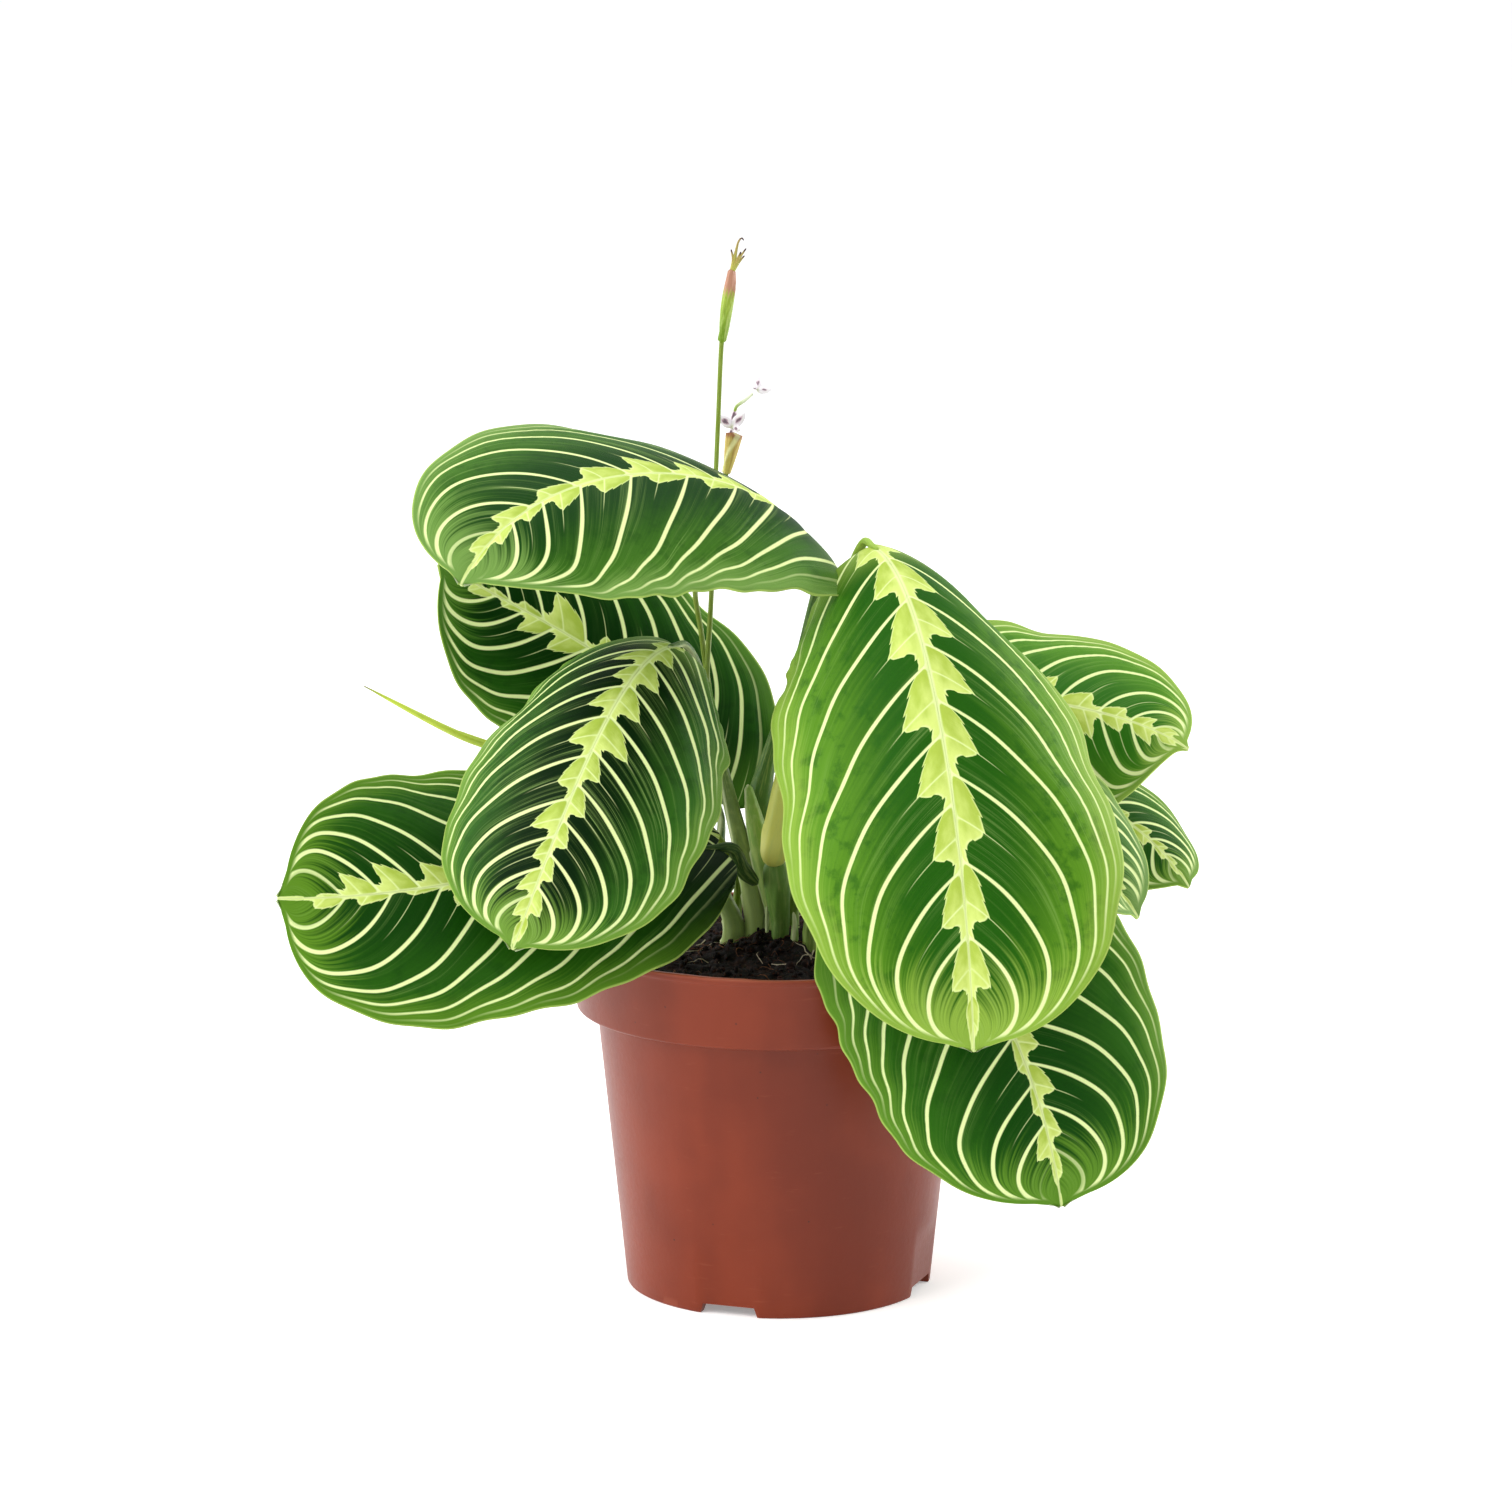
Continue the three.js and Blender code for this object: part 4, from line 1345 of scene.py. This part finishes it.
@dataclass
class Flower:
    """A small flower: thin cupped petals that leave a short throat.

    Attributes:
        node: The CAD node it stands for.
        centre: Place of its throat.
        petals: Direction and length of each petal.
        finish: Its material.
        half_thickness: Half the thickness of a petal.
        rows, columns: Vertices along and across a petal.
    """

    node: str
    centre: Point
    petals: list
    finish: PetalFinish
    half_thickness: float = 0.09
    rows: int = 22
    columns: int = 15

    def build(self) -> bpy.types.Object:
        """All petals and the throat as one mesh."""
        points, faces = [], []
        values: dict[str, list] = {"along": [], "across": [], "petal": []}
        centre = np.array(self.centre)
        lengthwise = np.linspace(0, 1, self.rows)
        u, v = np.meshgrid(lengthwise, np.linspace(-1, 1, self.columns), indexing="ij")
        for index, direction in enumerate(self.petals):
            reach = np.array(direction, float)
            length = np.linalg.norm(reach)
            forward = reach / length
            side = np.cross(forward, (0.1, 1.0, 0.1))
            side /= np.linalg.norm(side)
            face = np.cross(side, forward)
            half = (0.16 + 0.84 * np.sin(np.pi * u**0.85) ** 0.6) * np.sqrt(1 - 0.97 * u**6)
            half = half * min(1.6, 0.3 * length)
            ruffle = 0.16 * np.sin(u * 13 + index * 2 + v) * np.abs(v) ** 2
            curl = 0.5 * v**2 - 0.6 * u**2 + ruffle + 0.3 * u
            for sheet in (self.half_thickness, -self.half_thickness):
                spread = centre + forward * (u * length)[..., None] + side * (v * half)[..., None]
                lift = curl * 0.8 + sheet * (1 - 0.9 * np.abs(v) ** 4)
                spread = spread + face * lift[..., None]
                start = sum(len(p) for p in points)
                faces += sheet_faces(self.rows, self.columns, start, flip=sheet > 0)
                points.append(spread.reshape(-1, 3))
                values["along"].append(u.ravel())
                values["across"].append(v.ravel())
                values["petal"].append(np.full(u.size, index * 3.7))
        attributes = {key: np.concatenate(content) for key, content in values.items()}
        return make_piece(f"{self.node}_look", np.concatenate(points), faces, attributes)

    def dress(self) -> None:
        """Builds the flower and gives it its finish."""
        settle(self.build(), Slot.PETAL, self.node, self.finish.build(f"petals_{self.node}"))


# ---- Stage ----


@dataclass
class Stage:
    """Floor, light and camera.

    Attributes:
        camera: Place of the lens.
        pitch: How far the camera looks down, in degrees.
        lens: Focal length.
        sensor: Width of the sensor.
        reach: How far the floor goes from the middle.
        sky: Strength of the even light from all round.
    """

    camera: Point = (-6.83, -1600.0, 460.0)
    pitch: float = 10.665
    lens: float = 131.587
    sensor: float = 36.0
    reach: float = 40000.0
    sky: float = 0.8

    def floor(self) -> None:
        """A wide level floor that fills the view."""
        steps = np.linspace(-self.reach, self.reach, 9)
        points = np.array([(x, y, 0.0) for y in steps for x in steps])
        piece = make_piece("studio_floor", points, sheet_faces(len(steps), len(steps)), {})
        piece.data.materials.append(FloorFinish().build("studio_floor"))

    def light(self, name: str, place: Point, size: float, power: float, aim: Point) -> None:
        """A square soft light at a place, aimed at a point; lengths in metres, power in watts."""
        lamp = bpy.data.lights.new(name, "AREA")
        lamp.size = size
        lamp.energy = power
        holder = bpy.data.objects.new(name, lamp)
        holder.location = place
        holder.rotation_euler = (Vector(aim) - Vector(place)).to_track_quat("-Z", "Y").to_euler()
        bpy.context.scene.collection.objects.link(holder)

    def build(self) -> None:
        """Sets up the floor, the lights, the world and the camera."""
        self.floor()
        plant = (0.0, 0.0, 0.16)
        for name, place, size, power in (
            ("key", (-1.5, -1.3, 1.7), 1.4, 28.0),
            ("fill", (1.9, -1.4, 0.9), 1.2, 8.0),
            ("top", (0.2, 0.5, 2.3), 1.8, 22.0),
            ("left", (-1.7, 0.2, 0.6), 1.6, 32.0),
            ("right", (1.6, 0.9, 0.5), 1.2, 26.0),
        ):
            self.light(name, place, size, power, plant)
        world = bpy.data.worlds.new("studio")
        world.use_nodes = True
        sky = world.node_tree.nodes["Background"]
        sky.inputs["Color"].default_value = (1.0, 1.0, 1.0, 1.0)
        sky.inputs["Strength"].default_value = self.sky
        scene = bpy.context.scene
        scene.world = world
        scene.view_settings.view_transform = "Standard"
        lens = bpy.data.cameras.new("view")
        lens.lens = self.lens
        lens.sensor_width = self.sensor
        eye = bpy.data.objects.new("view", lens)
        eye.location = [value * MM for value in self.camera]
        eye.rotation_euler = (math.radians(90 - self.pitch), 0.0, 0.0)
        scene.collection.objects.link(eye)
        scene.camera = eye


# ---- The plant's own pieces ----

UP_FRONT = ((0.3, -0.6, 0.7), (0.5, -0.7, 0.4))


def tint(dark: tuple, mid: tuple, edge: tuple, **more: float) -> BladeFinish:
    """A blade's finish from the display values of its three greens."""
    return BladeFinish(srgb(*dark, 0.8), srgb(*mid, 0.8), srgb(*edge, 0.8), **more)


def blades() -> list[Blade]:
    """The nine open leaves."""
    return [
        Blade(
            "top_left",
            ((9, 0, 221.5), (-5, -15, 251), (-68, -34, 258), (-89, -62, 221)),
            ((0, 0, 1), (0, -0.5, 0.86)),
            91,
            Side((-10, 0), (-54, -40)),
            Side((4, 8), (-25, -15)),
            tint((20, 64, 10), (70, 118, 38), (130, 172, 84), sheen=1.2, seed=1.0),
            veins=8.6,
            sweep=6.0,
            base=(0.7, 0.45),
            lobe=12.0,
        ),
        Blade(
            "back_left",
            ((-19, 20, 142), (-30, 42, 176), (-68, 48, 188), (-100, 35, 210)),
            ((0.1, -0.9, 0.45), (0, -0.85, 0.5)),
            72,
            Side((0, 0), (-25, -25)),
            Side((0, 0), (-25, -25)),
            tint((14, 52, 8), (38, 88, 18), (92, 142, 46), uneven=0.6, sheen=0.4, seed=2.0),
            veins=8.4,
        ),
        Blade(
            "front_left",
            ((-31, -15, 194), (-46, -38, 196), (-63, -66, 150), (-75, -75, 119)),
            ((-0.2, -0.7, 0.7), (-0.2, -0.9, 0.3)),
            84,
            Side((-15, 0), (-70, -25)),
            Side((-6, 0), (-58, -30)),
            tint((8, 38, 4), (56, 106, 32), (126, 170, 66), sheen=1.6, seed=3.0),
            veins=9.6,
            sweep=5.6,
            base=(0.5, 0.74),
        ),
        Blade(
            "low_left",
            ((-20, -15, 134), (-55, -30, 137), (-100, -50, 126), (-142, -52, 127)),
            ((0, -0.45, 0.9), (0, -0.9, 0.42)),
            86,
            Side((0, 0), (-25, -25)),
            Side((0, 0), (-20, -20)),
            tint(
                (22, 66, 10),
                (44, 94, 20),
                (104, 152, 42),
                uneven=0.8,
                sheen=0.4,
                shade=0.8,
                seed=4.0,
            ),
            veins=8.4,
            blunt=0.44,
        ),
        Blade(
            "front_right",
            ((27, -20, 224), (42, -56, 222), (52, -92, 150), (54, -98, 95)),
            ((0, -0.6, 0.8), (0.05, -0.95, 0.2)),
            102,
            Side((-28, 10), (-75, -10)),
            Side((-20, 8), (-58, -12)),
            tint(
                (38, 92, 18),
                (96, 148, 38),
                (158, 194, 76),
                band=11.5,
                uneven=0.15,
                mottle=0.9,
                seed=5.0,
            ),
            veins=7.8,
            wave=2.4,
            base=(0.45, 0.7),
            lobe=6.5,
            blunt=0.5,
        ),
        Blade(
            "back_right_upper",
            ((38, 24, 173), (58, 32, 173), (102, 40, 168), (121, 26, 157)),
            ((0.1, -0.6, 0.8), (0.3, -0.6, 0.7)),
            74,
            Side((4, 0), (-26, -26)),
            Side((-30, -30), (-60, -60)),
            tint((48, 108, 24), (92, 148, 44), (158, 194, 84), sheen=0.7, seed=6.0),
            veins=8.4,
            blunt=0.85,
        ),
        Blade(
            "back_right_lower",
            ((60, 48, 142), (84, 58, 144), (111, 58, 130), (124, 46, 111)),
            UP_FRONT,
            50,
            Side((-8, -8), (-35, -35)),
            Side((-12, -12), (-25, -25)),
            tint((32, 82, 16), (74, 126, 36), (126, 168, 64), band=6.0, seed=7.0),
            veins=8.4,
        ),
        Blade(
            "right_inner",
            ((48, 2, 155.5), (66, 1, 155.5), (87, -1, 138.5), (105, -5, 112.5)),
            UP_FRONT,
            50,
            Side((5, 5), (-25, -25)),
            Side((30, 30), (-25, -25)),
            tint((44, 92, 34), (88, 134, 62), (136, 174, 92), band=6.0, sheen=1.2, seed=8.0),
            veins=8.4,
        ),
        Blade(
            "low_right",
            ((32, -30, 131), (50, -62, 129), (74, -74, 87), (80, -75, 44)),
            ((0.2, -0.8, 0.55), (0.2, -0.95, 0.2)),
            92,
            Side((5, 5), (-25, -25)),
            Side((5, 5), (-30, -25)),
            tint(
                (24, 72, 12),
                (50, 102, 24),
                (106, 154, 48),
                band=8.5,
                uneven=0.5,
                sheen=0.5,
                seed=9.0,
            ),
            veins=8.0,
            blunt=0.46,
        ),
    ]


OLIVE = StalkFinish(low=srgb(136, 162, 78, 0.9), high=srgb(98, 136, 52, 0.85), lines=0.45)
SHADED = StalkFinish(low=srgb(92, 128, 60, 0.9), high=srgb(68, 110, 42, 0.85), lines=0.3)
# Painted shade: a darker copy of the stalk greens, for a stalk that stands in shadow low among the
# leaves.
PAINTED_SHADE = StalkFinish(low=srgb(62, 92, 42, 0.8), high=srgb(46, 80, 32, 0.8), lines=0.25)
CLASPING = StalkFinish(
    low=srgb(180, 200, 124, 0.95), high=srgb(64, 102, 42, 0.85), lines=0.4, hem=0.7
)
PALE = StalkFinish(
    low=srgb(184, 202, 128, 0.95), high=srgb(136, 174, 84, 0.9), lines=0.5, hem=0.8
)
SPRING = StalkFinish(low=srgb(214, 214, 104, 0.95), high=srgb(150, 184, 70, 0.9), lines=0.3)
SLIM = StalkFinish(low=srgb(112, 142, 44, 0.85), high=srgb(120, 142, 40, 0.85), lines=0.25)


@dataclass
class Growth:
    """Everything that grows out of the compost on a stem.

    Attributes:
        compost: What it is planted in.
        leaves: The open blades.
        planting_depth: How deep the stalks go.
        straight: How far they rise straight up above the compost.
        blade_gap: Where a stalk ends in front of its blade.
        blade_end: Radius of a stalk where it meets its blade.
    """

    compost: Compost
    leaves: list[Blade]
    planting_depth: float = 14.0
    straight: float = 4.0
    blade_gap: float = 0.6
    blade_end: float = 1.2

    def rooted(self, foot: tuple[float, float], points: list) -> list:
        """A path that rises straight out of the compost before it follows its points."""
        x, y = foot
        compost = self.compost
        share = min(1.0, math.hypot(x, y) / compost.mound_radius)
        surface = compost.level + compost.mound * 0.5 * (1 + math.cos(math.pi * share))
        heights = (surface - self.planting_depth, surface, surface + self.straight)
        return [(x, y, z) for z in heights] + points

    def ending(self, name: str) -> list:
        """The last points of a stalk: it runs into its blade and on under the midrib."""
        leaf = next(each for each in self.leaves if each.name == name)
        points, tangents = leaf.along_spine(np.array([0.0, 0.03]))
        gaps = (6 + self.blade_gap, self.blade_gap)
        before, end = (points[0] - tangents[0] * gap for gap in gaps)
        return [tuple(before), tuple(end), tuple(points[1])]

    def stalks(self) -> list[Stem]:
        """The stalks of the open leaves."""
        end = self.blade_end
        rooted, ending = self.rooted, self.ending
        slim = [2.2, 2, 1.8, 1.7]

        def stalk(
            name: str, foot: tuple, points: list, radii: list, look: StalkFinish, **more: float
        ) -> Stem:
            """The stalk of one open leaf, from the compost to its blade."""
            path = rooted(foot, points + ending(name))
            return Stem(f"stalk_{name}", path, [*radii, end, 0.8], look, **more)

        return [
            stalk(
                "top_left",
                (-2, 8),
                [(-6, 8, 140), (-3, 7, 158), (1.5, 6, 172), (8, 4, 196)],
                [2.3, 2.6, 3.7, 4, 2, 1.4, 1.3],
                SHADED,
                overlap=0.1,
            ),
            stalk(
                "back_left",
                (-13.5, 4),
                [(-18, 6, 120)],
                [3.6, 3.6, 2.6, 1.8],
                CLASPING,
                overlap=0.25,
            ),
            stalk(
                "front_left",
                (-7, 4),
                [(-11, 3, 130), (-17, 2, 155), (-22, -1, 180)],
                [2.6, 2.9, 3, 2.4, 1.7, 1.6],
                CLASPING,
                overlap=0.2,
            ),
            stalk("back_right_upper", (4, 12), [(7, 14, 140), (17, 18, 162)], slim, OLIVE),
            stalk("back_right_lower", (10, 8), [(17, 16, 122), (38, 34, 138)], slim, OLIVE),
            stalk("right_inner", (10, 0), [(17, 1, 130), (31, 2, 149)], [2, 1.9, 1.8, 1.7], OLIVE),
            stalk("low_right", (9, -7), [(12, -12, 120)], [2.2, 2, 1.9, 1.7], OLIVE),
            Stem(
                "stalk_front_right",
                [
                    (-2.4, -5.9, 126.6),
                    (-0.8, -6.6, 133),
                    (0.6, -6, 140),
                    (4.6, -3.4, 162),
                    (15, -4, 195),
                    *ending("front_right"),
                ],
                [3.4, 4.9, 4.6, 4.1, 3.6, 3, 2.5, 2.1, 1.9, 1.8, 1.6, end, 0.8],
                SPRING,
                Slot.SHEATH,
                overlap=0.08,
            ),
            Stem(
                "stalk_low_left",
                [(-6.4, -4.6, 121), (-11, -8, 126.5)] + ending("low_left"),
                [1.2, 2.5, 2.3, 1.9, end, 0.8],
                PAINTED_SHADE,
            ),
        ]

    def young(self) -> list[Stem]:
        """The main shoot, the buds and the leaf that is still rolled."""
        rooted = self.rooted
        shoot = StalkFinish(low=srgb(92, 122, 56, 0.85), high=srgb(104, 142, 60, 0.85), lines=0.2)
        rolled = StalkFinish(
            low=srgb(150, 182, 56, 0.85), high=srgb(196, 216, 74, 0.9), lines=0.4, tip_start=0.88
        )
        return [
            Stem(
                "shoot_main",
                rooted((0.4, -3), [(0, -3.2, 113), (-1.5, -5, 129.5)]),
                [2.4, 2.4, 2.6, 3.3, 4, 3.4],
                shoot,
                ribs=5,
                overlap=0.1,
            ),
            Stem(
                "sheath_bud",
                rooted((-1.5, 2.5), [(-5, 1.5, 128), (-9.3, 1, 150)]),
                [1.5, 1.5, 2.3, 2.9, 2.7, 1],
                PALE,
                Slot.SHEATH,
                overlap=0.35,
                twist=0.1,
            ),
            Stem(
                "bud_small",
                rooted((4.6, -5.5), [(4.2, -6, 113)]),
                [1.3, 1.3, 1.2, 0.5],
                PALE,
                Slot.SHEATH,
            ),
            Stem(
                "sprout_thin",
                rooted((-3.6, -0.8), [(-3.6, -1.6, 114)]),
                [0.6, 0.6, 0.5],
                PALE,
                Slot.SHEATH,
            ),
            Stem(
                "stalk_rolled",
                rooted(
                    (-13, 9.5),
                    [
                        (-12.5, 8.5, 122),
                        (-16, 6.5, 130),
                        (-24, 8, 138.5),
                        (-45, 15.5, 149.5),
                        (-61.8, 14.1, 153.9),
                    ],
                ),
                [1.3, 1.2, 1.1, 1],
                SLIM,
            ),
            Stem(
                "leaf_rolled",
                [(-61.6, 14, 153.9), (-90, 9, 161.5), (-123, 5, 179)],
                [1, 1.3, 1.2, 0.8, 0.15],
                rolled,
                Slot.YOUNG,
                overlap=0.2,
                twist=1.2,
            ),
        ]

    def flower_stems(self) -> list[Stem]:
        """The two flower stalks with their bracts, and the small tube of the upper flower."""
        rooted = self.rooted
        bract = StalkFinish(
            low=srgb(108, 144, 22, 0.85),
            high=srgb(150, 172, 58, 0.9),
            tip=srgb(178, 128, 104, 0.85),
            tip_start=0.6,
        )
        dry = StalkFinish(
            low=srgb(192, 180, 92, 0.9),
            high=srgb(196, 174, 96, 0.9),
            line=srgb(150, 108, 58, 0.85),
            tip=srgb(150, 100, 64, 0.8),
            tip_start=0.8,
            hem=0.5,
            roughness=0.62,
        )
        return [
            Stem(
                "flower_stalk_tall",
                rooted(
                    (-8, 13),
                    [
                        (-12, 12, 130),
                        (-16, 10, 147),
                        (-21, 12, 167),
                        (-20, 24, 206),
                        (-18.6, 32, 242),
                        (-17, 32, 277.3),
                        (-16.7, 32, 280),
                    ],
                ),
                [1, 0.9, 0.8, 0.7, 0.7],
                SLIM,
            ),
            Stem(
                "bract_tall",
                [(-16.9, 32, 277), (-15.4, 32, 289), (-13.9, 32, 299.4)],
                [0.9, 1.4, 1.6, 1.7, 1.6, 1.3, 1],
                bract,
                overlap=0.4,
                twist=0.6,
                cap=0.8,
            ),
            Stem(
                "flower_stalk_short",
                rooted(
                    (-12, 16),
                    [
                        (-13, 18, 132),
                        (-17, 16, 150),
                        (-20, 19, 170),
                        (-23, 23, 191),
                        (-25, 28, 206),
                        (-20, 35, 228),
                        (-15.8, 37, 237.4),
                        (-15.3, 37.1, 240),
                    ],
                ),
                [1, 0.9, 0.8, 0.8],
                SLIM,
            ),
            Stem(
                "bract_short",
                [(-15.7, 37, 237.2), (-13.4, 37.4, 249.8)],
                [1, 1.5, 1.9, 2.2, 2.4],
                dry,
                Slot.DRIED,
                overlap=0.3,
                twist=0.35,
                cap=0.25,
            ),
            Stem(
                "flower_tube",
                [(-13.2, 37.5, 256), (-12.6, 37.4, 257.6), (-10, 37, 259.6), (-7.6, 36.6, 261.7)],
                [0.45, 0.5, 0.55, 0.5, 0.4],
                StalkFinish(low=srgb(150, 178, 74, 0.9), high=srgb(226, 232, 206, 0.95), lines=0.2),
                Slot.SHEATH,
                sides=20,
            ),
        ]

    def dried_wisps(self) -> None:
        """The dried flowers on the tall bract: thin curled wisps with dark ends, as one piece."""
        root = (-13.9, 32, 298.4)
        tips = [
            [(-12.8, 32, 304), (-11.9, 32, 307.4), (-11.0, 32, 308.3), (-10.4, 32, 307.5)],
            [(-12, 31.6, 302), (-9.7, 31, 305.4)],
            [(-12, 32.6, 301), (-10.2, 33.4, 303)],
            [(-13.6, 32, 302), (-14.2, 32, 305)],
            [(-12.7, 31.7, 301.4), (-11.2, 31.2, 304.4)],
        ]
        papery = StalkFinish(
            low=srgb(170, 166, 70, 0.85),
            high=srgb(164, 138, 84, 0.85),
            tip=srgb(58, 30, 40),
            tip_start=0.78,
            roughness=0.7,
        )
        look = papery.build("dried_wisps")
        radii = [0.75, 0.6, 0.45, 0.32, 0.2]
        made = [Stem("wisp", [root, *path], radii, papery, sides=12).build() for path in tips]
        piece = made[0]
        piece.name = "dried_flowers_look"
        with bpy.context.temp_override(active_object=piece, selected_editable_objects=made):
            bpy.ops.object.join()
        settle(piece, Slot.DRIED, "dried_flowers", look)

    def dress(self) -> None:
        """Builds every stem and flower."""
        for stem in [*self.stalks(), *self.young(), *self.flower_stems()]:
            stem.dress()
        self.dried_wisps()
        lower = [(-4, -1.5, 4), (4, -2, 5), (1, 2, 6.5), (2.5, -2.5, -0.2), (-0.6, -0.5, -2.4)]
        upper = [(0.6, 0.5, 4.3), (4.6, 0, 0.3), (-1.2, -1.4, 1.2)]
        Flower("flower_lower", (-14, 37.6, 251.2), lower, PetalFinish(0.8)).dress()
        Flower("flower_upper", (-6.6, 36.4, 262.6), upper, PetalFinish(0.4)).dress()


def main() -> None:
    """Builds the stage and every piece."""
    logging.basicConfig(level=logging.INFO, format="%(name)s %(message)s")
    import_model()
    Stage().build()
    pot = Pot.packed()
    pot.dress()
    compost = Compost(pot)
    compost.dress()
    leaves = blades()
    underside = UndersideFinish().build("blade_underside")
    for leaf in leaves:
        leaf.dress(underside)
    Growth(compost, leaves).dress()
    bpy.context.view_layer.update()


if __name__ == "__main__":
    main()
